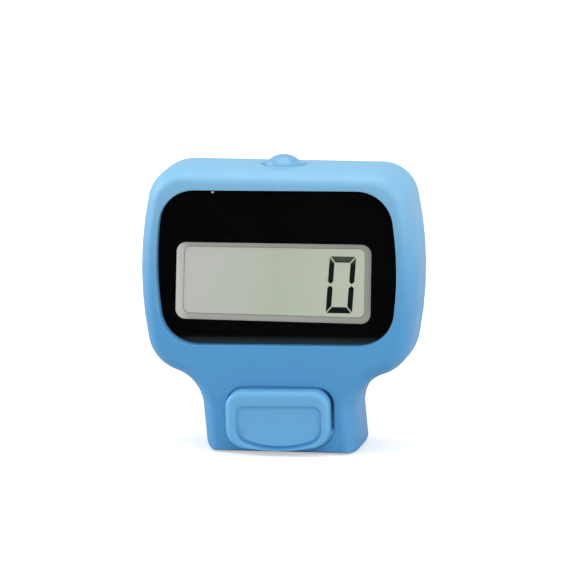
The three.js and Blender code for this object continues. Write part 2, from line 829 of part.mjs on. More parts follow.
function addCountButton() {
  const place = { x: 0, z: buttonCentre };
  addPart('count_button', countButton(), 'bluePlastic');
  addPart('count_switch_body', countSwitch(), 'blackPlastic');
  addPart('count_switch_plunger', depthRod(countPlungerRadius, flangeBack, countPlungerEnd, place), 'whitePlastic');
}

// A stepped pin with a domed top and a flange that stays under the top wall.
function resetButton() {
  const top = bodyHeight + resetRise;
  const shoulder = top - resetCrown;
  const domeRadius = (resetRadius ** 2 + resetCrown ** 2) / (2 * resetCrown);
  const dome = { x: 0, z: top - domeRadius };
  const from = Math.asin((shoulder - dome.z) / domeRadius);
  const crown = arc(dome, domeRadius, from, quarterTurn).slice(0, -1);
  return uprightTurned([
    [0, resetFlangeBase],
    [resetRadius + resetFlange, resetFlangeBase],
    [resetRadius + resetFlange, resetFlangeTop],
    [resetRadius, resetFlangeTop],
    ...crown.map((point) => [point.x, point.y]),
    [0, top],
  ], resetDepth);
}

function resetSwitch() {
  const half = resetSwitchWidth / 2;
  const bore = uprightRod(
    resetPlungerRadius + plungerGap,
    resetPlungerEnd - resetTravel - runningGap,
    resetSwitchTop + overrun,
    resetDepth,
  );
  return box([-half, boardFront - resetSwitchDepth, resetSwitchBase], [half, boardFront, resetSwitchTop])
    .subtract(bore);
}

function addResetButton() {
  addPart('reset_button', resetButton(), 'bluePlastic');
  addPart('reset_switch_body', resetSwitch(), 'blackPlastic');
  const plunger = uprightRod(resetPlungerRadius, resetPlungerEnd, resetFlangeBase, resetDepth);
  addPart('reset_switch_plunger', plunger, 'whitePlastic');
}

// The middle line of the band as it is wrapped, in depth and height, each point with its way outwards.
// It starts at the inner end, runs under the finger space, up the back cover and over to the outer end.
function bandPath() {
  const centre = { x: bandArcCentre, z: bandCentre };
  const corner = { x: bandFlat + bandCorner };
  const low = { x: corner.x, z: bandCentre - bandRadius + bandCorner };
  const high = { x: corner.x, z: bandCentre + bandRadius - bandCorner };
  const rise = [];
  for (let i = 1; i < edgeSteps; i += 1) {
    const share = i / edgeSteps;
    const lift = bandLap * THREE.MathUtils.smoothstep(share, 0, 1);
    const depth = THREE.MathUtils.lerp(corner.x, bandArcCentre, share);
    rise.push(new THREE.Vector2(depth, bandCentre + bandRadius + lift));
  }
  return [
    ...arc(centre, bandRadius, bandInnerEnd, -quarterTurn),
    ...arc(low, bandCorner, -quarterTurn, -halfTurn),
    ...arc(high, bandCorner, halfTurn, quarterTurn),
    ...rise,
    ...arc(centre, bandRadius + bandLap, quarterTurn, bandOuterEnd),
  ];
}

// One side of the band, half its thickness away from the middle line.
function bandSide(path, offset) {
  return path.map((point, i) => {
    const before = path[Math.max(0, i - 1)];
    const after = path[Math.min(path.length - 1, i + 1)];
    const along = after.clone().sub(before).normalize();
    return new THREE.Vector2(point.x - along.y * offset, point.y + along.x * offset);
  });
}

// Turns a form drawn along the depth so that it points outwards from the middle of the finger space.
function aroundFinger(geometry, angle) {
  return solid(geometry.rotateX(angle).translate(0, bandArcCentre, bandCentre));
}

function fingerBand() {
  const path = bandPath();
  const half = bandThickness / 2;
  const outline = [...bandSide(path, half), ...bandSide(path, -half).reverse()];
  const strip = new THREE.ExtrudeGeometry(new THREE.Shape(outline), { depth: bandWidth, bevelEnabled: false });
  const [xAxis, yAxis, zAxis] = [0, 1, 2].map((axis) => new THREE.Vector3().setComponent(axis, 1));
  strip.applyMatrix4(new THREE.Matrix4().makeBasis(yAxis, zAxis, xAxis)).translate(-bandHalf, 0, 0);
  const lapInner = bandRadius + bandLap - half;
  const lapOuter = lapInner + bandThickness;
  const hole = new THREE.CylinderGeometry(
    bandHoleRadius, bandHoleRadius, bandThickness + bandLapGap, roundSteps(bandHoleRadius),
  ).translate(0, (lapInner + lapOuter) / 2, 0);
  const pegRoot = bandRadius + half - weld;
  const pegTop = lapOuter + bandLapGap + bandPegHeadHeight;
  const peg = new THREE.LatheGeometry([
    [0, pegRoot],
    [bandPegRadius, pegRoot],
    [bandPegRadius, lapOuter + bandLapGap],
    [bandPegHead, lapOuter + bandLapGap],
    [bandPegRadius, pegTop],
    [0, pegTop],
  ].map(([radius, height]) => new THREE.Vector2(radius, height)), roundSteps(bandPegHead));
  const middle = (bandHoles - 1) / 2;
  const holes = [];
  for (let i = 0; i < bandHoles; i += 1) {
    holes.push(aroundFinger(hole.clone(), (middle - i) * bandHolePitch));
  }
  return solid(strip).subtract(joined(holes)).add(aroundFinger(peg, 0));
}

addHousing();
addLens();
addDisplay();
addBoard();
addCell();
addCountButton();
addResetButton();
addPart('finger_band', fingerBand(), 'blueSilicone');

export default group;
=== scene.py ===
"""Looks of a digital tally counter that is worn on a finger.

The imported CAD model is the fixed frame. Each sub-assembly of the counter is a class below: it holds
its sizes in millimetres, builds finer meshes over the CAD solids and gives every piece its finish.
"""

import logging
import math
from collections.abc import Callable, Iterable, Sequence
from dataclasses import dataclass
from enum import Enum

import bmesh
import bpy
from mathutils import Matrix, Vector
from mathutils.geometry import tessellate_polygon


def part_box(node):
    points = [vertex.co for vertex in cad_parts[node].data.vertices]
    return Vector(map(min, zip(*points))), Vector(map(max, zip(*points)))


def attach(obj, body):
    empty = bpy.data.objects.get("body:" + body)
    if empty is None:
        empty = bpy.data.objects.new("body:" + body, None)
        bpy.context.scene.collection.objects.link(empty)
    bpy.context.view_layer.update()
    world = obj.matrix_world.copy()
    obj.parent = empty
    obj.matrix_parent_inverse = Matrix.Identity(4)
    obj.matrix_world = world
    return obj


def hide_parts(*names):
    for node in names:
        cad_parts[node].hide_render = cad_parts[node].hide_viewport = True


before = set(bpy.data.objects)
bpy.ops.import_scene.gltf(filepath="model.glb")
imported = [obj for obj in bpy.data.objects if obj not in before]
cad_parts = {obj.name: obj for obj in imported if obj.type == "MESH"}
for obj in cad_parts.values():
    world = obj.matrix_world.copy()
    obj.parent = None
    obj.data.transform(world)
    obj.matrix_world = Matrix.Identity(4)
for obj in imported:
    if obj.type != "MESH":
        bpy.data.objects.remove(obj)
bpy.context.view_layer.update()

log = logging.getLogger("tally_counter")

MM = 0.001
QUARTER = math.pi / 2
HALF_TURN = math.pi
ARC_STEP = math.radians(4.0)
LEAST_ARC_STEPS = 6
LEAST_CORNER = 0.2
ROUND_STEPS = 64
SCREW_STEPS = 48
PEG_STEPS = 40
EDGE_STEPS = 10
SOFT_STEPS = 16
FINE_EDGE = 4
CORNER_STEPS = 12
BOW_STEPS = 14
TOP_CORNER_STEPS = 18
SAME_PLACE = 1e-7
CUT_PAST = 1.0
BEVEL_STEPS = 3
BEVEL_ANGLE = math.radians(40.0)
FACE_WEIGHT = 80
SMOOTH_ANGLE = math.radians(32.0)
IMAGE_SIZE = 576
SENSOR_WIDTH = 36.0

Flat = tuple[float, float]
Spot = tuple[float, float, float]
Colour = tuple[float, float, float]
Piece = bpy.types.Object
Material = bpy.types.Material


class Body(Enum):
    """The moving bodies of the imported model."""

    HOUSING = "housing"
    COUNT_BUTTON = "count_button"
    RESET_BUTTON = "reset_button"


class Slot(Enum):
    """Names of the record's material slots for the new pieces."""

    CASE = "case_plastic"
    BUTTON = "button_plastic"
    WINDOW = "window_acrylic"
    PRINT = "window_print"
    FILM = "polariser_film"
    SCREW = "screw_steel"
    BAND = "band_elastomer"


# Shader building


def operators(operation: str) -> tuple[Callable, Callable]:
    """The method of an operator and its reflected form, which each add one Math node.

    Args:
        operation: The Math node's operation.

    Returns:
        The two methods.
    """
    def plain(self: "Wire", other: "Wire | float") -> "Wire":
        """The operator with the wire first."""
        return self.join(operation, self, other)

    def reflected(self: "Wire", other: float) -> "Wire":
        """The operator with the number first."""
        return self.join(operation, other, self)

    return plain, reflected


class Wire:
    """An output socket that takes part in Python arithmetic by adding Math nodes."""

    def __init__(self, tree: bpy.types.NodeTree, socket: bpy.types.NodeSocket | None) -> None:
        """Keeps the tree and the socket, if the node has one."""
        self.tree, self.socket = tree, socket

    __add__, __radd__ = operators("ADD")
    __sub__, __rsub__ = operators("SUBTRACT")
    __mul__, __rmul__ = operators("MULTIPLY")
    __truediv__, __rtruediv__ = operators("DIVIDE")
    __pow__, __rpow__ = operators("POWER")

    def join(self, operation: str, left: "Wire | float", right: "Wire | float") -> "Wire":
        """Adds one Math node.

        Args:
            operation: Its operation.
            left: Its first value.
            right: Its second value.

        Returns:
            Its output.
        """
        node = self.tree.nodes.new("ShaderNodeMath")
        node.operation = operation
        plug(self.tree, node.inputs[0], left)
        plug(self.tree, node.inputs[1], right)
        return Wire(self.tree, node.outputs[0])


Value = Wire | float | Sequence[float]


def plug(tree: bpy.types.NodeTree, socket: bpy.types.NodeSocket, value: Value) -> None:
    """Links a wire to an input socket, or sets the socket's own value.

    Args:
        tree: The node tree.
        socket: The input socket.
        value: The wire or value.
    """
    if isinstance(value, Wire):
        tree.links.new(value.socket, socket)
    else:
        socket.default_value = value


class Canvas:
    """The node tree of one material or world, with short ways to add nodes to it."""

    def __init__(self, owner: Material | bpy.types.World) -> None:
        """Clears the owner's node tree.

        Args:
            owner: The material or world that the nodes are for.
        """
        owner.use_nodes = True
        self.tree = owner.node_tree
        self.tree.nodes.clear()

    def node(self, kind: str, settings: dict | None = None, sockets: dict | None = None, output: str = "") -> Wire:
        """Adds a node, sets it up and then fills its sockets.

        Args:
            kind: The node's type, without the common prefix.
            settings: The node's own properties; "stops" holds a ramp's places and colours.
            sockets: Values or wires by the socket's name, or by its number where names repeat.
            output: The name of the output to return; the first one if empty.

        Returns:
            The chosen output.
        """
        node = self.tree.nodes.new("ShaderNode" + kind)
        for name, value in (settings or {}).items():
            if name == "stops":
                self._set_stops(node.color_ramp, value)
            else:
                setattr(node, name, value)
        for name, value in (sockets or {}).items():
            named = (s for s in node.inputs if s.enabled and s.name == name)
            plug(self.tree, node.inputs[name] if isinstance(name, int) else next(named), value)
        shown = [s for s in node.outputs if s.enabled and output in ("", s.name)]
        return Wire(self.tree, shown[0] if shown else None)

    @staticmethod
    def _set_stops(ramp: bpy.types.ColorRamp, stops: Sequence[tuple[float, Colour]]) -> None:
        """Gives a colour ramp its stops.

        Args:
            ramp: The ramp to change.
            stops: Places from 0 to 1 with their colours.
        """
        while len(ramp.elements) < len(stops):
            ramp.elements.new(1.0)
        for element, (place, colour) in zip(ramp.elements, stops):
            element.position, element.color = place, opaque(colour)

    def axis(self, place: Wire, name: str) -> Wire:
        """One coordinate of a point: X, Y or Z."""
        return self.node("SeparateXYZ", sockets={"Vector": place}, output=name)

    def noise(self, place: Wire, size_mm: float, detail: float = 2.0, roughness: float = 0.5) -> Wire:
        """Soft noise from 0 to 1, with lumps of a size and some finer layers."""
        sockets = {"Vector": place, "Scale": 1.0 / (size_mm * MM), "Detail": detail, "Roughness": roughness}
        return self.node("TexNoise", sockets=sockets, output="Fac")

    def blend(self, factor: Value, first: Value, second: Value, mode: str = "MIX") -> Wire:
        """Mixes two colours.

        Args:
            factor: The share of the second colour.
            first: The first colour.
            second: The second colour.
            mode: How they are blended.

        Returns:
            The mixed colour.
        """
        settings = {"data_type": "RGBA", "blend_type": mode, "clamp_factor": True}
        sockets = {"Factor": factor, "A": opaque(first), "B": opaque(second)}
        return self.node("Mix", settings, sockets, "Result")

    def ramp(self, factor: Wire, stops: Sequence[tuple[float, Colour]]) -> Wire:
        """A colour that runs through the stops as the factor goes from 0 to 1."""
        return self.node("ValToRGB", {"stops": stops}, {"Fac": factor}, "Color")

    def steps(self, value: Wire, low: float, high: float) -> Wire:
        """Goes smoothly from 0 to 1 while the value goes from low to high."""
        sockets = {"Value": value, "From Min": low, "From Max": high}
        return self.node("MapRange", {"interpolation_type": "SMOOTHSTEP"}, sockets, "Result")

    def bump(self, height: Wire, depth_mm: float, strength: float = 1.0) -> Wire:
        """A normal that is tilted by a height map of the given depth."""
        return self.node("Bump", sockets={"Height": height, "Distance": depth_mm * MM, "Strength": strength})

    def surface(self, **sockets: Value) -> Wire:
        """Adds a Principled shader; its socket names have underscores for spaces."""
        return self.node("BsdfPrincipled", sockets={name.replace("_", " "): v for name, v in sockets.items()})

    def camera_share(self) -> Wire:
        """One for rays from the camera and through clear things, otherwise nought."""
        camera, through = (self.node("LightPath", output=f"Is {kind} Ray") for kind in ("Camera", "Transmission"))
        return 1 - (1 - camera) * (1 - through)

    def finish(self, shader: Wire, kind: str = "OutputMaterial") -> None:
        """Links a shader to the output of the tree."""
        self.node(kind, sockets={"Surface": shader})


def opaque(colour: Value) -> Value:
    """A colour with full alpha, or the wire as it is."""
    return colour if isinstance(colour, Wire) else (*colour, 1.0)


def scaled(colour: Colour, share: float) -> Colour:
    """A colour with every channel multiplied."""
    return tuple(channel * share for channel in colour)


def linear(red: int, green: int, blue: int) -> Colour:
    """A colour written as it is seen on a screen, from 0 to 255, as scene light."""
    shown = (channel / 255 for channel in (red, green, blue))
    return tuple(v / 12.92 if v <= 0.04045 else ((v + 0.055) / 1.055) ** 2.4 for v in shown)


# Finishes


@dataclass(frozen=True)
class Finish:
    """What every finish has; each kind paints its own nodes."""

    name: str

    def make(self) -> Material:
        """Builds the material.

        Returns:
            The material.
        """
        material = bpy.data.materials.new(self.name)
        canvas = Canvas(material)
        canvas.finish(self.paint(canvas, canvas.node("TexCoord", output="Object")))
        return material

    def paint(self, canvas: Canvas, place: Wire) -> Wire:
        """Adds the finish's nodes.

        Args:
            canvas: The material's node tree.
            place: The point on the piece, in metres.

        Returns:
            The shader.
        """
        raise NotImplementedError


@dataclass(frozen=True)
class MouldedPlastic(Finish):
    """Plastic with a fine mould grain and handling marks; a pale tone, if it has one, is painted light that grows
    towards the top.
    """

    colour: Colour
    roughness: float = 0.45
    grain_mm: float = 0.16
    grain_depth: float = 0.004
    mottle: float = 0.03
    # The pale tone and the two heights after it paint light from above: the tone turns paler upwards.
    pale: Colour | None = None
    painted_light_from: float = 13.0
    painted_light_to: float = 40.0

    def paint(self, canvas: Canvas, place: Wire) -> Wire:
        """Adds the nodes.

        Args:
            canvas: The material's node tree.
            place: The point on the piece, in metres.

        Returns:
            The shader.
        """
        cloud = canvas.noise(place, 7.0, 3.0)
        fine = canvas.noise(place, self.grain_mm, 3.0, 0.6)
        speck = canvas.noise(place, self.grain_mm * 3.1)
        darker, lighter = scaled(self.colour, 1 - self.mottle), scaled(self.colour, 1 + self.mottle)
        tone = canvas.blend(cloud * 0.7 + speck * 0.3, darker, lighter)
        # Painted light from above: the tone turns pale with height.
        if self.pale:
            height = canvas.axis(place, "Z") / MM + (cloud - 0.5) * 3
            tone = canvas.blend(canvas.steps(height, self.painted_light_from, self.painted_light_to), tone, self.pale)
        rubbed = canvas.steps(canvas.noise(place, 2.3, 4.0, 0.65), 0.52, 0.74)
        roughness = self.roughness + (fine - 0.5) * 0.16 - rubbed * 0.05
        normal = canvas.bump(fine + 0.35 * speck, self.grain_depth)
        return canvas.surface(Base_Color=tone, Roughness=roughness, Normal=normal)


@dataclass(frozen=True)
class BandRubber(Finish):
    """Soft matt elastomer with a fine dusty grain and faint ribs from its mould."""

    colour: Colour
    rib_mm: float = 0.9
    worn_from: float = 3.6
    worn_to: float = 5.0

    def paint(self, canvas: Canvas, place: Wire) -> Wire:
        """Adds the nodes.

        Args:
            canvas: The material's node tree.
            place: The point on the piece, in metres.

        Returns:
            The shader.
        """
        across = canvas.axis(place, "X")
        fine = canvas.noise(place, 0.11, 4.0, 0.65)
        dust = canvas.steps(canvas.noise(place, 3.0, 5.0, 0.6), 0.45, 0.8)
        wave = {"Vector": place, "Scale": 0.05 / (self.rib_mm * MM), "Distortion": 0.4, "Detail": 1.0}
        ribs = canvas.node("TexWave", {"wave_profile": "SIN"}, wave, "Fac")
        edge = canvas.steps(across * across, (self.worn_from * MM) ** 2, (self.worn_to * MM) ** 2)
        pale = tuple(channel + (1 - channel) * 0.1 for channel in self.colour)
        tone = canvas.blend(dust * 0.5 + edge * 0.3, self.colour, pale)
        normal = canvas.bump(fine * 0.6 + ribs * 0.4 * (1 - edge), 0.02)
        return canvas.surface(Base_Color=tone, Roughness=0.62 + fine * 0.15, Normal=normal)


@dataclass(frozen=True)
class ClearAcrylic(Finish):
    """Clear moulded acrylic: see-through face on, with a faint gloss that grows at grazing angles."""

    falloff: float = 3.5
    gloss_share: float = 0.45

    def paint(self, canvas: Canvas, place: Wire) -> Wire:
        """Adds the nodes.

        Args:
            canvas: The material's node tree.
            place: The point on the piece, in metres.

        Returns:
            The shader.
        """
        smear = canvas.steps(canvas.noise(place, 4.0, 4.0, 0.6), 0.5, 0.85)
        ripple = canvas.bump(canvas.noise(place, 6.0, 1.0), 0.01, 0.3)
        clear = canvas.node("BsdfTransparent", sockets={"Color": (0.97, 0.98, 0.98, 1.0)})
        gloss = canvas.surface(
            Base_Color=(1.0, 1.0, 1.0, 1.0), Metallic=1.0, Roughness=0.04 + smear * 0.05, Normal=ripple
        )
        facing = canvas.node("LayerWeight", sockets={"Blend": 0.5}, output="Facing")
        share = facing ** self.falloff * self.gloss_share
        return canvas.node("MixShader", sockets={"Fac": share, 1: clear, 2: gloss})


@dataclass(frozen=True)
class BlackPrint(Finish):
    """Black ink printed behind the window, with a painted reflection: a grey strip along the low edge and a bluish
    band right at it.
    """

    edge_mm: float
    slope: float
    colour: Colour = (0.0034, 0.003, 0.0034)

    def paint(self, canvas: Canvas, place: Wire) -> Wire:
        """Adds the nodes.

        Args:
            canvas: The material's node tree.
            place: The point on the piece, in metres.

        Returns:
            The shader.
        """
        fine = canvas.noise(place, 0.2, 3.0)
        height = (canvas.axis(place, "Z") - canvas.axis(place, "X") * self.slope) / MM
        # Painted reflection of the lens's low edge: grey above the edge, bluish right at it.
        painted_reflection = 1 - canvas.steps(height, self.edge_mm + 0.45, self.edge_mm + 1.05)
        painted_rim_reflection = 1 - canvas.steps(height, self.edge_mm + 0.1, self.edge_mm + 0.5)
        tone = canvas.blend(canvas.steps(fine, 0.6, 0.8) * 0.3, self.colour, (0.004, 0.004, 0.005))
        tone = canvas.blend(painted_reflection * (0.7 + fine * 0.4), tone, linear(44, 48, 49))
        tone = canvas.blend(painted_rim_reflection * 0.8, tone, linear(50, 68, 78))
        normal = canvas.bump(fine, 0.004)
        return canvas.surface(Base_Color=tone, Roughness=0.5 + fine * 0.2, Normal=normal, Specular_IOR_Level=0.0)


@dataclass(frozen=True)
class DisplayFilm(Finish):
    """The polariser of the display: silver grey at the left, turning greenish to the right."""

    width_mm: float = 24.0

    def paint(self, canvas: Canvas, place: Wire) -> Wire:
        """Adds the nodes.

        Args:
            canvas: The material's node tree.
            place: The point on the piece, in metres.

        Returns:
            The shader.
        """
        across = canvas.axis(place, "X") / (self.width_mm * MM) + 0.5
        cloud = canvas.noise(place, 5.0, 3.0) - 0.5
        tone = canvas.ramp(across + cloud * 0.25, (
            (0.0, linear(213, 209, 204)), (0.3, linear(204, 207, 194)),
            (0.5, linear(198, 204, 185)), (1.0, linear(210, 215, 195)),
        ))
        fibre = canvas.noise(place, 0.14)
        tone = canvas.blend(fibre * 0.12, tone, linear(170, 178, 163))
        normal = canvas.bump(fibre, 0.004)
        return canvas.surface(Base_Color=tone, Roughness=0.5 + fibre * 0.1, Normal=normal, Specular_IOR_Level=0.15)


@dataclass(frozen=True)
class DisplayFrame(Finish):
    """The moulded frame of the display, with painted light and shade: pale at the left, dull at the right, and
    painted shade where it meets the film.
    """

    film_mm: float
    width_mm: float = 25.2

    def paint(self, canvas: Canvas, place: Wire) -> Wire:
        """Adds the nodes.

        Args:
            canvas: The material's node tree.
            place: The point on the piece, in metres.

        Returns:
            The shader.
        """
        across = canvas.axis(place, "X") / (self.width_mm * MM) + 0.5
        fine = canvas.noise(place, 0.12)
        # Painted light and shade across the frame: the left side lit pale, the right side shaded dull.
        tone = canvas.ramp(across + (fine - 0.5) * 0.02, (
            (0.0, linear(217, 214, 210)), (0.06, linear(175, 173, 165)),
            (0.94, linear(162, 160, 153)), (1.0, linear(121, 117, 111)),
        ))
        # Painted shade in the crease where the frame meets the film.
        sunk = canvas.steps(canvas.axis(place, "Y") / MM, self.film_mm - 0.12, self.film_mm - 0.04)
        tone = canvas.blend(sunk * 0.75, tone, linear(96, 98, 90))
        normal = canvas.bump(fine, 0.004)
        return canvas.surface(Base_Color=tone, Roughness=0.35 + fine * 0.1, Normal=normal, Specular_IOR_Level=0.2)


@dataclass(frozen=True)
class SegmentInk(Finish):
    """A driven segment of the display: near black, with a painted highlight towards its top."""

    painted_light_from: float
    painted_light_to: float

    def paint(self, canvas: Canvas, place: Wire) -> Wire:
        """Adds the nodes.

        Args:
            canvas: The material's node tree.
            place: The point on the piece, in metres.

        Returns:
            The shader.
        """
        fine = canvas.noise(place, 0.3)
        # Painted highlight: the segment turns paler towards its top.
        pale = canvas.steps(canvas.axis(place, "Z"), self.painted_light_from * MM, self.painted_light_to * MM)
        tone = canvas.blend(pale * (0.55 + fine * 0.5), linear(14, 17, 14), linear(86, 89, 80))
        return canvas.surface(Base_Color=tone, Roughness=0.4 + fine * 0.1, Specular_IOR_Level=0.1)


@dataclass(frozen=True)
class TintedGlass(Finish):
    """Thin coated glass or film, partly see-through."""

    colour: Colour
    clearness: float = 0.5

    def paint(self, canvas: Canvas, place: Wire) -> Wire:
        """Adds the nodes.

        Args:
            canvas: The material's node tree.
            place: The point on the piece, in metres.

        Returns:
            The shader.
        """
        cloud = canvas.noise(place, 3.0, 3.0)
        tone = canvas.blend(cloud * 0.3, self.colour, scaled(self.colour, 0.8))
        alpha = 1 - self.clearness * (0.8 + cloud * 0.2)
        return canvas.surface(Base_Color=tone, Roughness=0.06 + cloud * 0.05, Alpha=alpha)


@dataclass(frozen=True)
class Laminate(Finish):
    """Glass-fibre board under green mask: woven fibres, copper tracks and tinned pads."""

    mask: Colour
    track: Colour
    pad: Colour
    weave_mm: float = 0.9
    cell_mm: float = 2.6

    def paint(self, canvas: Canvas, place: Wire) -> Wire:
        """Adds the nodes.

        Args:
            canvas: The material's node tree.
            place: The point on the piece, in metres.

        Returns:
            The shader.
        """
        flat = canvas.node("Mapping", {"vector_type": "POINT"}, {"Vector": place, "Rotation": (QUARTER, 0.0, 0.0)})
        weave = canvas.node("TexBrick", {"offset": 0.5}, {
            "Vector": flat, "Scale": 1.0 / (self.weave_mm * MM), "Mortar Size": 0.05,
            "Color1": (1.0, 1.0, 1.0, 1.0), "Color2": (0.75, 0.75, 0.75, 1.0), "Mortar": (0.4, 0.4, 0.4, 1.0),
        }, "Color")
        cell = {"Vector": place, "Scale": 1.0 / (self.cell_mm * MM), "Randomness": 0.35}
        borders, dots = (canvas.node("TexVoronoi", {"feature": kind}, cell, "Distance")
                         for kind in ("DISTANCE_TO_EDGE", "F1"))
        tracks, pads = 1 - canvas.steps(borders, 0.05, 0.08), 1 - canvas.steps(dots, 0.16, 0.19)
        tone = canvas.blend(0.25, self.mask, weave, "MULTIPLY")
        tone = canvas.blend(pads, canvas.blend(tracks, tone, self.track), self.pad)
        normal = canvas.bump(tracks * 0.6 + pads, 0.035)
        return canvas.surface(Base_Color=tone, Metallic=pads * 0.9, Roughness=0.35 - pads * 0.1, Normal=normal)


@dataclass(frozen=True)
class SheetMetal(Finish):
    """Rolled or plated metal with fine draw lines and faint stains."""

    colour: Colour
    roughness: float = 0.28
    line_mm: float = 0.05
    stretch: float = 14.0

    def paint(self, canvas: Canvas, place: Wire) -> Wire:
        """Adds the nodes.

        Args:
            canvas: The material's node tree.
            place: The point on the piece, in metres.

        Returns:
            The shader.
        """
        stretched = {"Vector": place, "Scale": (1.0, 1.0, self.stretch)}
        drawn = canvas.node("Mapping", {"vector_type": "POINT"}, stretched)
        lines = canvas.noise(drawn, self.line_mm * self.stretch / 2, 3.0, 0.6)
        stain = canvas.noise(place, 1.4, 4.0, 0.6)
        tone = canvas.blend(canvas.steps(stain, 0.5, 0.75) * 0.5, self.colour, scaled(self.colour, 0.72))
        roughness = self.roughness + lines * 0.14 + stain * 0.06
        return canvas.surface(Base_Color=tone, Metallic=1.0, Roughness=roughness, Normal=canvas.bump(lines, 0.006))


# Outlines seen from the front, as points of width and height in millimetres


@dataclass(frozen=True)
class Circle:
    """A circle in the plane of the housing's face."""

    x: float
    z: float
    radius: float

    def angle_to(self, other: "Circle") -> float:
        """The direction from this circle's centre to another's."""
        return math.atan2(other.z - self.z, other.x - self.x)

    def arc(self, grown: float, start: float, end: float, steps: int = 0) -> list[Flat]:
        """Points along an arc of this circle.

        Args:
            grown: How much larger than the circle the arc is.
            start: The first angle.
            end: The last angle.
            steps: The number of steps; worked out from the angle if 0.

        Returns:
            The points, both ends included.
        """
        count = steps or max(LEAST_ARC_STEPS, math.ceil(abs(end - start) / ARC_STEP))
        radius = self.radius + grown
        angles = [start + (end - start) * i / count for i in range(count + 1)]
        return [(self.x + radius * math.cos(a), self.z + radius * math.sin(a)) for a in angles]

    def inside(self, radius: float, z: float) -> "Circle":
        """A smaller circle on the right, at a height, that touches this one from inside."""
        return Circle(self.x + math.sqrt((self.radius - radius) ** 2 - (z - self.z) ** 2), z, radius)


def chain(*arcs: list[Flat]) -> list[Flat]:
    """Joins arcs that touch end to end, keeping each shared point once."""
    return [point for i, points in enumerate(arcs) for point in (points if i == 0 else points[1:])]


def mirrored(right: list[Flat]) -> list[Flat]:
    """Closes the right half of an outline with its mirror image."""
    return right + [(-x, z) for x, z in reversed(right) if x > LEAST_CORNER * MM]


def turned(points: Iterable[Flat], angle: float, pivot: Flat, shift: Flat) -> list[Flat]:
    """Points turned about a pivot and then shifted.

    Args:
        points: The points.
        angle: The angle.
        pivot: The point that stays, before the shift.
        shift: The shift.

    Returns:
        The moved points.
    """
    cos, sin = math.cos(angle), math.sin(angle)
    rays = [(x - pivot[0], z - pivot[1]) for x, z in points]
    return [(pivot[0] + shift[0] + x * cos - z * sin, pivot[1] + shift[1] + x * sin + z * cos) for x, z in rays]


def between(first: list[Flat], second: list[Flat], share: float) -> list[Flat]:
    """An outline part of the way from one outline to another with as many points."""
    return [(a[0] + (b[0] - a[0]) * share, a[1] + (b[1] - a[1]) * share) for a, b in zip(first, second)]


def circle_points(radius: float, x: float = 0.0, z: float = 0.0, steps: int = ROUND_STEPS) -> list[Flat]:
    """Points round a whole circle, the last one short of the first."""
    return Circle(x, z, radius).arc(0.0, 0.0, 2 * HALF_TURN, steps)[:-1]


def rounding(edge: float, steps: int) -> list[Flat]:
    """A quarter circle from side to face, as pairs: how far in, and how far from the full height."""
    angles = [QUARTER * i / steps for i in range(steps + 1)]
    return [(edge * (1 - math.cos(a)), edge * (1 - math.sin(a))) for a in angles]


def flare(edge: float) -> list[Flat]:
    """A quarter circle from the face into a hole, as pairs: how much wider than the hole, and how deep."""
    return [(wider, deep) for deep, wider in rounding(edge, FINE_EDGE)]


def rounded_rectangle(half: float, base: float, top: float, corner: float) -> list[Flat]:
    """A rectangle with round corners, centred on the middle of the counter."""
    low, high = (Circle(half - corner, z, corner) for z in (base + corner, top - corner))
    return mirrored(low.arc(0.0, -QUARTER, 0.0) + high.arc(0.0, 0.0, QUARTER))


def rounded_polygon(corners: Sequence[Flat], insets: Sequence[float], radius: float) -> list[Flat]:
    """A form with straight edges, each drawn in by its own inset, and round corners.

    Args:
        corners: Its corners, counter-clockwise.
        insets: How far the edge after each corner is drawn in.
        radius: The radius of its corners.

    Returns:
        The outline.
    """
    points = [Vector(corner) for corner in corners]
    ways = [(points[(i + 1) % len(points)] - at).normalized() for i, at in enumerate(points)]
    outline = []
    for i, at in enumerate(points):
        before, after = ways[i - 1], ways[i]
        turn = before.cross(after)
        centre = at + (after * (insets[i - 1] + radius) - before * (insets[i] + radius)) / turn
        start = math.atan2(-before.x, before.y)
        outline += Circle(centre.x, centre.y, radius).arc(0.0, start, start + math.asin(turn), CORNER_STEPS)
    return outline


@dataclass(frozen=True)
class BowedForm:
    """A rounded rectangle whose sides bow outwards."""

    half: float
    base: float
    top: float
    low_corner: float
    top_corner: float
    side_radius: float
    turn: float = 0.0

    def circles(self) -> tuple[Circle, Circle, Circle]:
        """The circles on the right.

        Returns:
            The low corner, the side and the top corner.
        """
        side = Circle(self.half - self.side_radius, (self.base + self.top) / 2, self.side_radius)
        low = side.inside(self.low_corner, self.base + self.low_corner)
        high = side.inside(self.top_corner, self.top - self.top_corner)
        return low, side, high

    def flank(self, inset: float) -> tuple[list[Flat], list[Flat]]:
        """The arcs of the right side and the top corner, drawn in."""
        low, side, high = self.circles()
        return (side.arc(-inset, side.angle_to(low), side.angle_to(high)),
                high.arc(-inset, side.angle_to(high), QUARTER))

    def outline(self, inset: float) -> list[Flat]:
        """The whole outline, turned about its middle.

        Args:
            inset: How far it is drawn in.

        Returns:
            The points.
        """
        low, side, _ = self.circles()
        upright = mirrored(chain(low.arc(-inset, -QUARTER, side.angle_to(low)), *self.flank(inset)))
        return turned(upright, self.turn, (0.0, side.z), (0.0, 0.0))


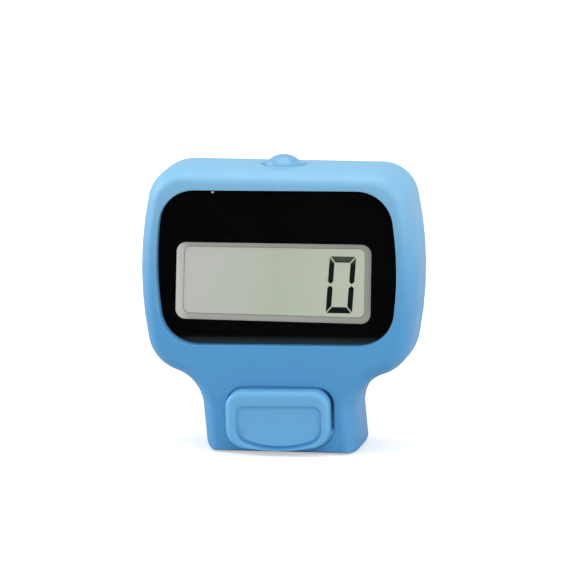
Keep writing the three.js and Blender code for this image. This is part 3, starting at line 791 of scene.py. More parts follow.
@dataclass(frozen=True)
class HousingForm:
    """The wide head on its narrow neck."""

    head: BowedForm
    neck_half: float = 9.75
    neck_taper: float = math.radians(0.5)
    neck_fillet: float = 4.8
    foot_corner: float = 1.2
    foot_lean: float = 0.6
    lean_from: float = 5.5

    def _neck(self) -> tuple[Vector, float]:
        """The way out of the neck's side, and how far that side is from the origin."""
        outward = Vector((math.cos(self.neck_taper), -math.sin(self.neck_taper)))
        return outward, self.neck_half * outward.x + self.head.base * outward.y

    def _foot(self, inset: float, sole: float) -> Circle:
        """The rounded corner of the foot.

        Args:
            inset: How far the side is drawn in.
            sole: The height of the base.

        Returns:
            Its circle on the right.
        """
        outward, reach = self._neck()
        radius = max(self.foot_corner - inset, LEAST_CORNER)
        return Circle((reach - inset - radius - radius * outward.y) / outward.x, sole + radius, radius)

    def _fillet(self) -> Circle:
        """The hollow corner between the neck and the head.

        Returns:
            Its circle on the right.
        """
        outward, reach = self._neck()
        low = self.head.circles()[0]
        upward, centre = Vector((-outward.y, outward.x)), Vector((low.x, low.z))
        across = reach + self.neck_fillet
        drop = math.sqrt((low.radius + self.neck_fillet) ** 2 - (across - outward.dot(centre)) ** 2)
        return Circle(*(outward * across + upward * (upward.dot(centre) - drop)), self.neck_fillet)

    def outline(self, inset: float, base_share: float = 1.0) -> list[Flat]:
        """The whole outline.

        Args:
            inset: How far it is drawn in.
            base_share: The share of the inset that the base takes.

        Returns:
            The points.
        """
        low, side, _ = self.head.circles()
        foot, fillet = self._foot(inset, inset * base_share), self._fillet()
        upright = mirrored(foot.arc(0.0, -QUARTER, -self.neck_taper) + chain(
            fillet.arc(inset, HALF_TURN - self.neck_taper, fillet.angle_to(low)),
            low.arc(-inset, low.angle_to(fillet), side.angle_to(low)),
            *self.head.flank(inset),
        ))
        return [(x + self.foot_lean * max(1 - z / self.lean_from, 0.0) ** 2, z) for x, z in upright]


@dataclass(frozen=True)
class ButtonForm:
    """A form with a straight top and sides and a base that bows downwards."""

    half: float
    base: float
    top: float
    low_corner: float
    top_corner: float
    base_radius: float
    centre: float = 0.35
    turn: float = math.radians(1.0)

    def outline(self, inset: float, base_share: float = 1.0) -> list[Flat]:
        """The whole outline, turned and moved to its place.

        Args:
            inset: How far it is drawn in.
            base_share: The share of the inset that the base takes.

        Returns:
            The points, as many for any inset.
        """
        half, base, top = self.half - inset, self.base + inset * base_share, self.top - inset
        low_corner, top_corner = (max(c - inset, LEAST_CORNER) for c in (self.low_corner, self.top_corner))
        bow = Circle(0.0, base + self.base_radius - inset, self.base_radius - inset)
        low_x = half - low_corner
        low = Circle(low_x, bow.z - math.sqrt((bow.radius - low_corner) ** 2 - low_x ** 2), low_corner)
        high = Circle(half - top_corner, top - top_corner, top_corner)
        bend = bow.angle_to(low)
        bottom = chain(bow.arc(0.0, -QUARTER, bend, BOW_STEPS), low.arc(0.0, bend, 0.0, BOW_STEPS))
        upright = mirrored(bottom + high.arc(0.0, 0.0, QUARTER, TOP_CORNER_STEPS))
        return turned(upright, self.turn, (0.0, (self.base + self.top) / 2), (self.centre, 0.0))


# Meshes


class Shell:
    """Collects rings of points and the faces between them, then makes a mesh object."""

    def __init__(self) -> None:
        """Starts with no points and no faces."""
        self.points: list[Vector] = []
        self.faces: list[tuple[int, ...]] = []

    def ring(self, points: Iterable[Vector]) -> list[int]:
        """Adds a ring of points in millimetres.

        Args:
            points: The points in order.

        Returns:
            Their numbers.
        """
        start = len(self.points)
        self.points.extend(points)
        return list(range(start, len(self.points)))

    def facing(self, outline: Iterable[Flat], depth: float) -> list[int]:
        """Adds an outline of width and height at a depth."""
        return self.ring(Vector((x, depth, z)) for x, z in outline)

    def level(self, outline: Iterable[Flat], height: float) -> list[int]:
        """Adds an outline of width and depth at a height."""
        return self.ring(Vector((x, y, height)) for x, y in outline)

    def walls(self, rings: Sequence[list[int]]) -> None:
        """Joins each closed ring to the next one, of equal length, with quads.

        Args:
            rings: The rings in order.
        """
        for first, second in zip(rings, rings[1:]):
            for i, corner in enumerate(first):
                j = (i + 1) % len(first)
                self.faces.append((corner, first[j], second[j], second[i]))

    def plate(self, outer: list[int], *holes: list[int]) -> None:
        """Fills a flat ring, leaving its holes open.

        Args:
            outer: The outer ring.
            *holes: Rings inside it.
        """
        numbers = [n for ring in (outer, *holes) for n in ring]
        drawn = [[self.points[n] for n in ring] for ring in (outer, *holes)]
        self.faces += [tuple(numbers[c] for c in corners) for corners in tessellate_polygon(drawn)]

    def piece(self, name: str) -> Piece:
        """Makes the mesh object.

        Args:
            name: The piece's name.

        Returns:
            The object, in metres.
        """
        made = bmesh.new()
        corners = [made.verts.new(point * MM) for point in self.points]
        for face in self.faces:
            if len(set(face)) == len(face):
                made.faces.new([corners[n] for n in face])
        bmesh.ops.remove_doubles(made, verts=made.verts, dist=SAME_PLACE)
        bmesh.ops.recalc_face_normals(made, faces=made.faces)
        mesh = bpy.data.meshes.new(name)
        made.to_mesh(mesh)
        made.free()
        return as_piece(name, mesh)

    def closed(self, name: str, rings: Sequence[list[int]]) -> Piece:
        """Makes a closed form through rings, with a plate at each end.

        Args:
            name: The piece's name.
            rings: The rings in order.

        Returns:
            The object.
        """
        self.walls(rings)
        self.plate(rings[0])
        self.plate(rings[-1])
        return self.piece(name)


def as_piece(name: str, mesh: bpy.types.Mesh) -> Piece:
    """Links a mesh as an object with smooth shading that keeps its sharp edges.

    Args:
        name: The piece's name.
        mesh: Its mesh.

    Returns:
        The object.
    """
    mesh.shade_smooth()
    mesh.set_sharp_from_angle(angle=SMOOTH_ANGLE)
    piece = bpy.data.objects.new(name, mesh)
    bpy.context.scene.collection.objects.link(piece)
    weighted = piece.modifiers.new("even_shading", "WEIGHTED_NORMAL")
    weighted.keep_sharp, weighted.weight = True, FACE_WEIGHT
    return piece


def dress(target: Piece, material: Material) -> None:
    """Gives an object one material in place of what it has."""
    target.data.materials.clear()
    target.data.materials.append(material)


def settle(piece: Piece, material: Material, body: Body, slot: Slot, *nodes: str) -> None:
    """Finishes a piece: material, body and the CAD nodes it stands for.

    Args:
        piece: The piece.
        material: Its material.
        body: The body it rides on.
        slot: The record's material slot; not used.
        *nodes: CAD nodes that it replaces.
    """
    dress(piece, material)
    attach(piece, body.value)
    if nodes:
        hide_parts(*nodes)
    log.info("%s: %d faces, rides on %s", piece.name, len(piece.data.polygons), body.value)


def loft(name: str, sections: Iterable[tuple[list[Flat], float]]) -> Piece:
    """Makes a closed form through outlines seen from the front, each with its depth."""
    shell = Shell()
    return shell.closed(name, [shell.facing(outline, depth) for outline, depth in sections])


def spun(name: str, profile: Iterable[Flat], x: float = 0.0, z: float = 0.0, steps: int = ROUND_STEPS) -> Piece:
    """Makes a form turned about an axis along the depth, from its radius and depth at each step."""
    return loft(name, [(circle_points(radius, x, z, steps), depth) for radius, depth in profile])


def spun_upright(name: str, profile: Iterable[Flat], depth: float, x: float) -> Piece:
    """Makes a form turned about an upright axis, from its radius and height at each step."""
    shell = Shell()
    return shell.closed(name, [shell.level(circle_points(radius, x, depth), height) for radius, height in profile])


def worked(piece: Piece, added: Sequence[Piece] = (), cut_out: Sequence[Piece] = ()) -> Piece:
    """Joins solids to a piece, cuts others out of it, and removes them all.

    Args:
        piece: The piece to work on.
        added: Closed forms to join to it.
        cut_out: Closed forms to take away afterwards.

    Returns:
        A new piece of the same name.
    """
    for operation, tools in (("UNION", added), ("DIFFERENCE", cut_out)):
        for tool in tools:
            step = piece.modifiers.new("work", "BOOLEAN")
            step.operation, step.object, step.solver = operation, tool, "EXACT"
    bpy.context.view_layer.update()
    mesh = bpy.data.meshes.new_from_object(piece.evaluated_get(bpy.context.evaluated_depsgraph_get()))
    name = piece.name
    for used in (piece, *added, *cut_out):
        bpy.data.objects.remove(used)
    return as_piece(name, mesh)


def span(node: str) -> tuple[Vector, Vector]:
    """The lowest and highest corners of a CAD node, in millimetres."""
    low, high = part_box(node)
    return low / MM, high / MM


def middle(node: str) -> tuple[float, ...]:
    """The middle of a CAD node's box, in millimetres: across, in depth and in height."""
    return tuple((low + high) / 2 for low, high in zip(*span(node)))


def ramped(value: float, start: float, length: float) -> float:
    """Goes evenly from 0 to 1 over a length and stays level beyond it."""
    return min(max((value - start) / length, 0.0), 1.0)


# The counter's sub-assemblies


@dataclass(frozen=True)
class Pillow:
    """How the outside of the housing draws in softly towards its face and its back."""

    face: float
    rear: float
    front_edge: float = 1.9
    front_round: float = 4.2
    rear_edge: float = 1.7
    rear_round: float = 6.0
    least_gap: float = 0.01

    @staticmethod
    def _drawn_in(past: float, edge: float, reach: float) -> float:
        """The inset at a point some way past the start of an elliptical edge."""
        return edge * (1 - math.sqrt(1 - ramped(past, 0.0, reach) ** 2))

    def inset(self, depth: float) -> float:
        """The inset of the outline at a depth."""
        front = self._drawn_in(self.face + self.front_round - depth, self.front_edge, self.front_round)
        return front + self._drawn_in(depth - self.rear + self.rear_round, self.rear_edge, self.rear_round)

    def marks(self, start: float, end: float) -> list[float]:
        """Depths to put rings at.

        Args:
            start: The first depth.
            end: The last depth.

        Returns:
            The depths, both ends included.
        """
        shares = [1 - math.sin(QUARTER * i / SOFT_STEPS) for i in range(SOFT_STEPS + 1)]
        depths = [self.face + self.front_round * share for share in shares]
        depths += [self.rear - self.rear_round * share for share in shares]
        low, high = min(start, end) + self.least_gap, max(start, end) - self.least_gap
        return [start, *sorted((d for d in depths if low < d < high), reverse=start > end), end]


@dataclass
class Housing:
    """Front case with its lens pocket, button hole and reset collar; back cover, band bridge and screws."""

    form: HousingForm
    lens: BowedForm
    hole: ButtonForm
    dome_offset: float
    plastic: Material
    steel: Material
    rim_edge: float = 0.1
    key_room: float = 0.7
    base_share: float = 0.22
    wall: float = 1.5
    rear_wall: float = 1.6
    lens_gap: float = 0.05
    collar_radius: float = 3.1
    collar_height: float = 0.3
    collar_rise: float = 0.05
    collar_fillet: float = 0.2
    collar_sink: float = 0.08
    collar_lip: float = 2.9
    pit_radius: float = 2.5
    pit_depth: float = 0.6
    pit_edge: Flat = (0.06, 0.02)
    well_depth: float = 1.0
    collar_bore: float = 2.0
    aperture_half: float = 13.35
    aperture_corner: float = 0.25
    lip_inset: float = 1.65
    lip_thickness: float = 0.8
    lip_depth: float = 1.0
    seam_gap: float = 0.2
    seam_edge: float = 0.15
    hole_radius: float = 1.6
    bore_radius: float = 1.0
    head_sink: float = 0.1
    head_height: float = 0.9
    head_edge: float = 0.42
    head_bevel: float = 0.06
    head_spread: float = 1.1
    shank_radius: float = 0.8
    shank_tip: tuple[Flat, ...] = ((0.45, 0.0), (0.8, 1.0))
    shank_neck: Flat = (0.9, 0.2)
    thread: tuple[Flat, ...] = ((0.82, 0.0), (1.0, 0.35), (0.82, 0.7))
    thread_pitch: float = 0.55
    cross_arm: float = 0.72
    cross_half: float = 0.17
    cross_depth: float = 0.6
    cross_taper: float = 0.55
    bridge_cheek: float = 1.4
    bridge_bar: float = 1.2
    bridge_corner: float = 1.1
    bridge_ends: Flat = (14.0, 20.0)
    bridge_edge: float = 0.28
    channel_half: float = 5.2
    screws: tuple[int, ...] = (1, 2, 3, 4)

    def build(self) -> None:
        """Builds the case, cover, bridge and screws."""
        low, high = span("front_case")
        self.face, self.seam, self.crown = low.y, high.y, high.z - self.collar_height
        self.rear = span("case_screw_1")[1].y + self.head_sink
        self.pillow = Pillow(self.face, self.rear)
        self._case()
        self._cover()
        self._bridge()
        for number in self.screws:
            self._screw(number)

    def _ring(self, shell: Shell, inset: float, depth: float, base_share: float = 1.0) -> list[int]:
        """Adds the housing's outline, drawn in, at a depth."""
        return shell.facing(self.form.outline(inset, base_share), depth)

    def _outside(self, shell: Shell, seam: float, end: float) -> list[list[int]]:
        """Adds the rings of one half's outside, from its soft seam edge to its flat end.

        Args:
            shell: The shell to add to.
            seam: The depth of the half's edge at the seam.
            end: The depth of its flat end.

        Returns:
            The rings in order.
        """
        away = math.copysign(1.0, end - seam)
        share = self.base_share if end < seam else 1.0
        soft = [(i, seam + away * d) for i, d in reversed(rounding(self.seam_edge, FINE_EDGE))]
        rings = [self._ring(shell, self.pillow.inset(depth) + i, depth) for i, depth in soft[:-1]]
        rings += [self._ring(shell, self.pillow.inset(d), d, share) for d in self.pillow.marks(soft[-1][1], end)]
        shell.walls(rings)
        return rings

    def _case(self) -> None:
        """Builds the front case: a closed shell, with the collar joined and the openings cut."""
        shell = Shell()
        ledge, inner_face = span("window_mask")[1].y, span("lcd_rear_glass")[0].y
        glass_low, glass_high = span("lcd_front_glass")
        gap = self.aperture_corner
        outside = self._outside(shell, self.seam, self.face)
        pocket = [shell.facing(self.lens.outline(-self.lens_gap - wider), self.face + deep)
                  for wider, deep in flare(self.rim_edge)]
        pocket.append(shell.facing(self.lens.outline(-self.lens_gap), ledge))
        shell.walls(pocket)
        shell.plate(outside[-1], pocket[0])
        opening = rounded_rectangle(self.aperture_half, glass_low.z - gap, glass_high.z + gap, gap)
        aperture = [shell.facing(opening, depth) for depth in (ledge, inner_face)]
        shell.plate(pocket[-1], aperture[0])
        shell.walls(aperture)
        inside = [self._ring(shell, self.wall, depth) for depth in (inner_face, self.seam)]
        shell.plate(inside[0], aperture[1])
        shell.walls([*inside, outside[0]])
        piece = worked(shell.piece("front_shell"), [self._collar()], [self._key_hole(), self._collar_bore()])
        settle(piece, self.plastic, Body.HOUSING, Slot.CASE, "front_case")

    def _key_hole(self) -> Piece:
        """The form of the button's opening, flared where it meets the face.

        Returns:
            The closed form.
        """
        edge = self.rim_edge / 2
        sections = [(self.hole.outline(-edge), self.face - CUT_PAST)]
        sections += [(self.hole.outline(-wider), self.face + deep) for wider, deep in flare(edge)]
        sections.append((self.hole.outline(0.0), span("count_button")[1].y + self.key_room))
        return loft("key_hole", sections)

    def _collar(self) -> Piece:
        """The low collar round the reset button, with a soft foot.

        Returns:
            The closed form.
        """
        peak, edge = self.crown + self.collar_rise, self.collar_fillet / 2
        root = self.crown - self.collar_sink
        foot = [(self.collar_radius + wider, root + high) for wider, high in flare(self.collar_fillet)]
        top = [(self.collar_radius - i, peak - d) for i, d in rounding(edge, FINE_EDGE)]
        base = (foot[0][0], self.crown - self.wall / 2)
        profile = [base, *(point for point in foot if point[1] < peak - edge), *top]
        return spun_upright("collar", profile, middle("reset_button")[1], self.dome_offset)

    def _collar_bore(self) -> Piece:
        """The form of the collar's hole: a bore, a wider well for the dome and a sloping pit round it.

        Returns:
            The closed form.
        """
        peak = self.crown + self.collar_rise
        floor, well = self.crown - self.pit_depth, self.crown - self.well_depth
        wide, low = self.pit_edge
        profile = [
            (self.collar_bore, self.crown - 2 * self.wall), (self.collar_bore, well), (self.pit_radius, well),
            (self.pit_radius, floor), (self.pit_radius + wide, floor + low),
            (self.collar_lip - wide, peak - 2 * low), (self.collar_lip + low, peak),
            (self.collar_lip + low, peak + CUT_PAST),
        ]
        return spun_upright("collar_bore", profile, middle("reset_button")[1], self.dome_offset)

    def _cover(self) -> None:
        """Builds the back cover: a closed shell with its lip, with the screw holes cut."""
        shell = Shell()
        start, inner = self.seam + self.seam_gap, self.rear - self.rear_wall
        outside = self._outside(shell, start, self.rear)
        front, deep = self.seam - self.lip_depth, self.lip_inset + self.lip_thickness
        lip = [self._ring(shell, inset, depth) for inset, depth in (
            (self.lip_inset, start), (self.lip_inset, front), (deep, front), (deep, inner))]
        shell.walls([outside[0], *lip])
        shell.plate(outside[-1])
        shell.plate(lip[-1])
        floor, mouth = self.rear - self.head_sink - self.head_height, self.hole_radius + self.rim_edge
        profile = [
            (self.bore_radius, inner - CUT_PAST), (self.bore_radius, floor), (self.hole_radius, floor),
            (self.hole_radius, self.rear - self.rim_edge), (mouth, self.rear), (mouth, self.rear + CUT_PAST),
        ]
        places = [middle(f"case_screw_{number}") for number in self.screws]
        piece = worked(shell.piece("back_shell"), cut_out=[spun("screw_hole", profile, x, z) for x, _, z in places])
        settle(piece, self.plastic, Body.HOUSING, Slot.CASE, "back_cover")

    def _bridge(self) -> None:
        """Builds the moulded bridge that the band runs under."""
        crest = span("back_cover")[1].y
        inner, outer = self.channel_half, self.channel_half + self.bridge_cheek
        sunk, under = self.rear - self.rim_edge, crest - self.bridge_bar
        bend = self.bridge_corner / 2
        shoulder = Circle(outer - self.bridge_corner, crest - self.bridge_corner, self.bridge_corner)
        right = [(inner, sunk), (outer, sunk), *shoulder.arc(0.0, 0.0, QUARTER, EDGE_STEPS)]
        hollow = Circle(inner - bend, under - bend, bend).arc(0.0, QUARTER, 0.0, EDGE_STEPS)
        outline = right + [(-x, y) for x, y in [*reversed(right), *reversed(hollow)]] + hollow
        shell = Shell()
        piece = shell.closed("band_bridge", [shell.level(outline, height) for height in self.bridge_ends])
        soft = piece.modifiers.new("soft_edges", "BEVEL")
        soft.width, soft.segments = self.bridge_edge * MM, BEVEL_STEPS
        soft.limit_method, soft.angle_limit = "ANGLE", BEVEL_ANGLE
        piece.modifiers.move(1, 0)
        settle(piece, self.plastic, Body.HOUSING, Slot.CASE)

    def _screw(self, number: int) -> None:
        """Builds one cross-recessed screw with a rounded pan head.

        Args:
            number: Which of the four screws.
        """
        node = f"case_screw_{number}"
        (low, high), (x, _, z) = span(node), middle(node)
        radius, shank, pitch = (high.x - low.x) / 2, self.shank_radius, self.thread_pitch
        top, floor = high.y, high.y - self.head_height
        shape = [(shank * wide, low.y + shank * along) for wide, along in self.shank_tip]
        depth = low.y + shank + pitch / 2
        while depth + pitch < floor - pitch:
            shape += [(shank * wide, depth + pitch * along) for wide, along in self.thread]
            depth += pitch
        (share, under), bevel = self.shank_neck, self.head_bevel
        shape += [(shank * share, floor - under), (shank, floor)]
        shape += [(radius - bevel, floor), (radius, floor + bevel)]
        shape += [(radius - i * self.head_spread, top - d) for i, d in rounding(self.head_edge, EDGE_STEPS)]
        shell = Shell()
        rings = [shell.facing(circle_points(wide, x, z, SCREW_STEPS), depth) for wide, depth in shape]
        shell.walls(rings)
        shell.plate(rings[0])
        half, arm = self.cross_half, self.cross_arm
        corner = [(half, arm), (-half, arm), (-half, half)]
        cross = [point for i in range(4) for point in turned(corner, i * QUARTER, (0.0, 0.0), (x, z))]
        inner = [(x + (px - x) * self.cross_taper, z + (pz - z) * self.cross_taper) for px, pz in cross]
        mouth, pit = shell.facing(cross, top), shell.facing(inner, top - self.cross_depth)
        shell.plate(rings[-1], mouth)
        shell.walls([mouth, pit])
        shell.plate(pit)
        settle(shell.piece(f"cover_screw_{number}"), self.steel, Body.HOUSING, Slot.SCREW, node)


@dataclass
class Display:
    """Clear lens, black printed mask, the moulded surround and the liquid crystal digit."""

    lens: BowedForm
    acrylic: Material
    ink: Material
    surround: Material
    segment: Material
    glint_paint: Material
    window: tuple[Flat, ...] = ((11.61, 16.36), (11.79, 26.3), (-12.65, 26.18), (-12.92, 16.54))
    window_corner: float = 1.25
    lens_edge: float = 0.4
    print_gap: float = 0.03
    frame_widths: tuple[float, ...] = (0.87, 0.62, 0.98, 0.75)
    frame_corner: float = 0.75
    frame_lip: float = 0.12
    frame_overlap: float = 0.02
    lip_profile: tuple[Flat, ...] = ((1.0, 0.9), (0.4, 0.7), (0.0, 0.0))
    digit_left: float = 6.23
    digit_base: float = 17.6
    digit_height: float = 7.12
    digit_width: float = 3.3
    stroke_side: float = 0.64
    stroke_end: float = 0.76
    stroke_point: float = 0.45
    mitre_gap: float = 0.11
    slant: float = math.tan(math.radians(4.5))
    ink_thickness: float = 0.02
    glint_place: Flat = (-7.92, 32.68)
    glint_size: float = 0.17
    glint_height: float = 0.7
    glint_rings: tuple[Flat, ...] = ((1.0, 0.3), (1.0, 0.0), (0.8, -0.03), (0.4, -0.05))

    def build(self) -> None:
        """Builds the lens, a small pale nub on its top edge that is a painted glint, the mask, the surround and the
        digit.
        """
        front, back = (corner.y for corner in span("display_window"))
        sections = [(self.lens.outline(0.0), back - self.print_gap)]
        sections += [(self.lens.outline(i), front + d) for i, d in rounding(self.lens_edge, EDGE_STEPS)]
        settle(loft("clear_lens", sections), self.acrylic, Body.HOUSING, Slot.WINDOW, "display_window")
        # A painted glint: a small pale nub on the lens's top edge.
        x, z = self.glint_place
        marks = []
        for share, deep in self.glint_rings:
            ring = circle_points(self.glint_size * share, steps=2 * EDGE_STEPS)
            marks.append(([(x + px, z + pz * self.glint_height) for px, pz in ring], front + deep))
        settle(loft("lens_painted_glint", marks), self.glint_paint, Body.HOUSING, Slot.WINDOW)
        self._mask()
        self._surround()
        self._digit()

    def _opening(self, share: float, more: float = 0.0) -> list[Flat]:
        """The outline of the window, drawn in by a share of the frame's widths and some more."""
        radius = self.window_corner + (self.frame_corner - self.window_corner) * share
        return rounded_polygon(self.window, [width * share + more for width in self.frame_widths], radius - more)

    def _mask(self) -> None:
        """Builds the black print behind the lens."""
        shell = Shell()
        depths = [corner.y for corner in span("window_mask")]
        outer, hole = ([shell.facing(outline, depth) for depth in depths]
                       for outline in (self.lens.outline(0.0), self._opening(0.0)))
        for rings in zip(outer, hole):
            shell.plate(*rings)
        shell.walls(outer)
        shell.walls(hole)
        settle(shell.piece("printed_mask"), self.ink, Body.HOUSING, Slot.PRINT, "window_mask")

    def _surround(self) -> None:
        """Builds the sloping frame between the mask and the film."""
        front, film = span("window_mask")[0].y + self.print_gap, span("lcd_polariser")[0].y
        lip, lap = self.frame_lip, self.frame_overlap
        shell = Shell()
        rings = [shell.facing(self._opening(0.0, more), depth)
                 for more, depth in ((-lap, film), (-lap, front + lap), (2 * lap, front))]
        rings += [shell.facing(self._opening(1.0, -lip * wide), film - lip * high)
                  for wide, high in self.lip_profile]
        shell.walls([*rings, rings[0]])
        settle(shell.piece("display_surround"), self.surround, Body.HOUSING, Slot.FILM)

    def _segments(self) -> list[list[Flat]]:
        """The six lit segments of a nought.

        Returns:
            Their outlines, measured from the nought's lower left corner.
        """
        w, h, a, b, g = self.digit_width, self.digit_height, self.stroke_side, self.stroke_end, self.mitre_gap
        mid, tip = h / 2, a * self.stroke_point
        top = [(g, h), (w - g, h), (w - a - g, h - b), (a + g, h - b)]
        left = [(0.0, h - g), (a, h - b - g), (a, mid + g + tip), (a / 2, mid + g), (0.0, mid + g + tip)]
        upper = [top, left, [(w - x, z) for x, z in reversed(left)]]
        return upper + [[(x, h - z) for x, z in reversed(outline)] for outline in upper]

    def _digit(self) -> None:
        """Builds the lit segments as thin plates on the film."""
        film = span("lcd_polariser")[0].y
        shell = Shell()
        for outline in self._segments():
            placed = [(self.digit_left + x + (z - self.digit_height / 2) * self.slant, self.digit_base + z)
                      for x, z in outline]
            plates = [shell.facing(placed, depth) for depth in (film - self.ink_thickness, film)]
            shell.walls(plates)
            for plate in plates:
                shell.plate(plate)
        settle(shell.piece("lit_digit"), self.segment, Body.HOUSING, Slot.FILM)


@dataclass
class ThumbButton:
    """The large key on the neck, with its broad soft rim and shallow dish."""

    form: ButtonForm
    hole: ButtonForm
    dish: ButtonForm
    plastic: Material
    edge: float = 0.8
    base_share: float = 0.25
    dish_depth: float = 0.45
    groove: float = 0.35
    groove_least: float = 0.15
    bowl: float = 0.12
    step_low: float = 0.12
    step_depth: float = 0.34
    step_from: Flat = (6.0, 3.0)
    step_rise: float = 0.8
    slot_depth: float = 1.7
    slot_from: float = 5.6
    slot_rise: float = 1.2
    step_gap: float = 0.04
    rim: tuple[Flat, ...] = ((0.3, 0.0), (0.6, 0.02), (0.8, 0.08), (0.92, 0.2), (1.0, 0.36))
    floor: tuple[Flat, ...] = ((0.04, 0.8), (0.12, 1.0), (0.27, 0.6), (0.47, 0.0))

    def build(self) -> None:
        """Builds the key."""
        face, back = (corner.y for corner in span("count_button"))
        shell = Shell()
        gap, outer = self.hole.outline(self.step_gap), self.form.outline(self.edge, self.base_share)
        rings = [shell.facing(gap, back), self._step(shell, gap), self._step(shell, self.form.outline(0.0))]
        rings += [shell.facing(self.form.outline(i, self.base_share), face + d)
                  for i, d in rounding(self.edge, EDGE_STEPS)]
        inner = self.dish.outline(0.0)
        rings += [shell.facing(between(outer, inner, share), face + drop) for share, drop in self.rim]
        rings += [self._sunk(shell, inset, face + self.dish_depth, share) for inset, share in self.floor]
        mid = Vector((self.dish.centre, face + self.dish_depth + self.bowl, (self.dish.base + self.dish.top) / 2))
        centre = shell.ring([mid])[0]
        edge = rings[-1]
        rings += [self._bowl_ring(shell, edge, mid, i / FINE_EDGE) for i in range(1, FINE_EDGE)]
        shell.walls(rings)
        last = rings[-1]
        shell.faces += [(corner, last[(i + 1) % len(last)], centre) for i, corner in enumerate(last)]
        shell.plate(rings[0])
        settle(shell.piece("thumb_key"), self.plastic, Body.COUNT_BUTTON, Slot.BUTTON, "count_button")

    def _step(self, shell: Shell, outline: list[Flat]) -> list[int]:
        """A ring of the step in the gap round the key: shallow at the base, deepest at the right.

        Args:
            shell: The shell to add to.
            outline: The ring as seen from the front.

        Returns:
            The new ring.
        """
        face = span("front_case")[0].y
        points = []
        for x, z in outline:
            right = ramped(x, self.slot_from, self.slot_rise)
            high = ramped(z, self.step_from[x > 0], self.step_rise)
            inner = self.step_depth + (self.slot_depth - self.step_depth) * right
            points.append(Vector((x, face + self.step_low + (inner - self.step_low) * high, z)))
        return shell.ring(points)

    def _sunk(self, shell: Shell, inset: float, depth: float, share: float) -> list[int]:
        """A ring of the dish's floor, sunk into a groove that deepens towards the base.

        Args:
            shell: The shell to add to.
            inset: How far inside the dish's edge the ring is.
            depth: The floor's depth.
            share: The share of the groove's depth that the ring takes.

        Returns:
            The new ring.
        """
        points = []
        for x, z in self.dish.outline(inset):
            low = ramped(-z, -self.dish.top, self.dish.top - self.dish.base)
            deep = self.groove_least + (1 - self.groove_least) * low * low
            points.append(Vector((x, depth + self.groove * share * deep, z)))
        return shell.ring(points)

    def _bowl_ring(self, shell: Shell, rim: list[int], mid: Vector, share: float) -> list[int]:
        """A ring of the hollow floor, part of the way from its rim to its middle.

        Args:
            shell: The shell to add to.
            rim: The rim's ring.
            mid: The middle point.
            share: How far towards the middle.

        Returns:
            The new ring.
        """
        drop = self.bowl * (1 - (1 - share) ** 2)
        corners = [shell.points[number] for number in rim]
        flat = [corner.lerp(mid, share) for corner in corners]
        return shell.ring(Vector((inner.x, corner.y + drop, inner.z)) for corner, inner in zip(corners, flat))


@dataclass
class ResetDome:
    """The small domed pin in the top of the head."""

    offset: float
    plastic: Material
    radius: float = 2.35
    stem: float = 1.85
    flange: float = 2.4
    flange_height: float = 0.6
    skirt: float = 0.3
    crown: float = 1.25

    def build(self) -> None:
        """Builds the pin."""
        low, high = (corner.z for corner in span("reset_button"))
        shelf, base = low + self.flange_height, high - self.crown - self.skirt
        profile = [(self.flange, low), (self.flange, shelf), (self.stem, shelf)]
        profile += [(self.stem, base), (self.radius, base)]
        sphere = (self.radius ** 2 + self.crown ** 2) / (2 * self.crown)
        start = math.asin((sphere - self.crown) / sphere)
        angles = [start + (QUARTER - start) * i / SOFT_STEPS for i in range(SOFT_STEPS)]
        profile += [(sphere * math.cos(angle), high - sphere + sphere * math.sin(angle)) for angle in angles]
        piece = spun_upright("reset_dome", profile, middle("reset_button")[1], self.offset)
        settle(piece, self.plastic, Body.RESET_BUTTON, Slot.BUTTON, "reset_button")


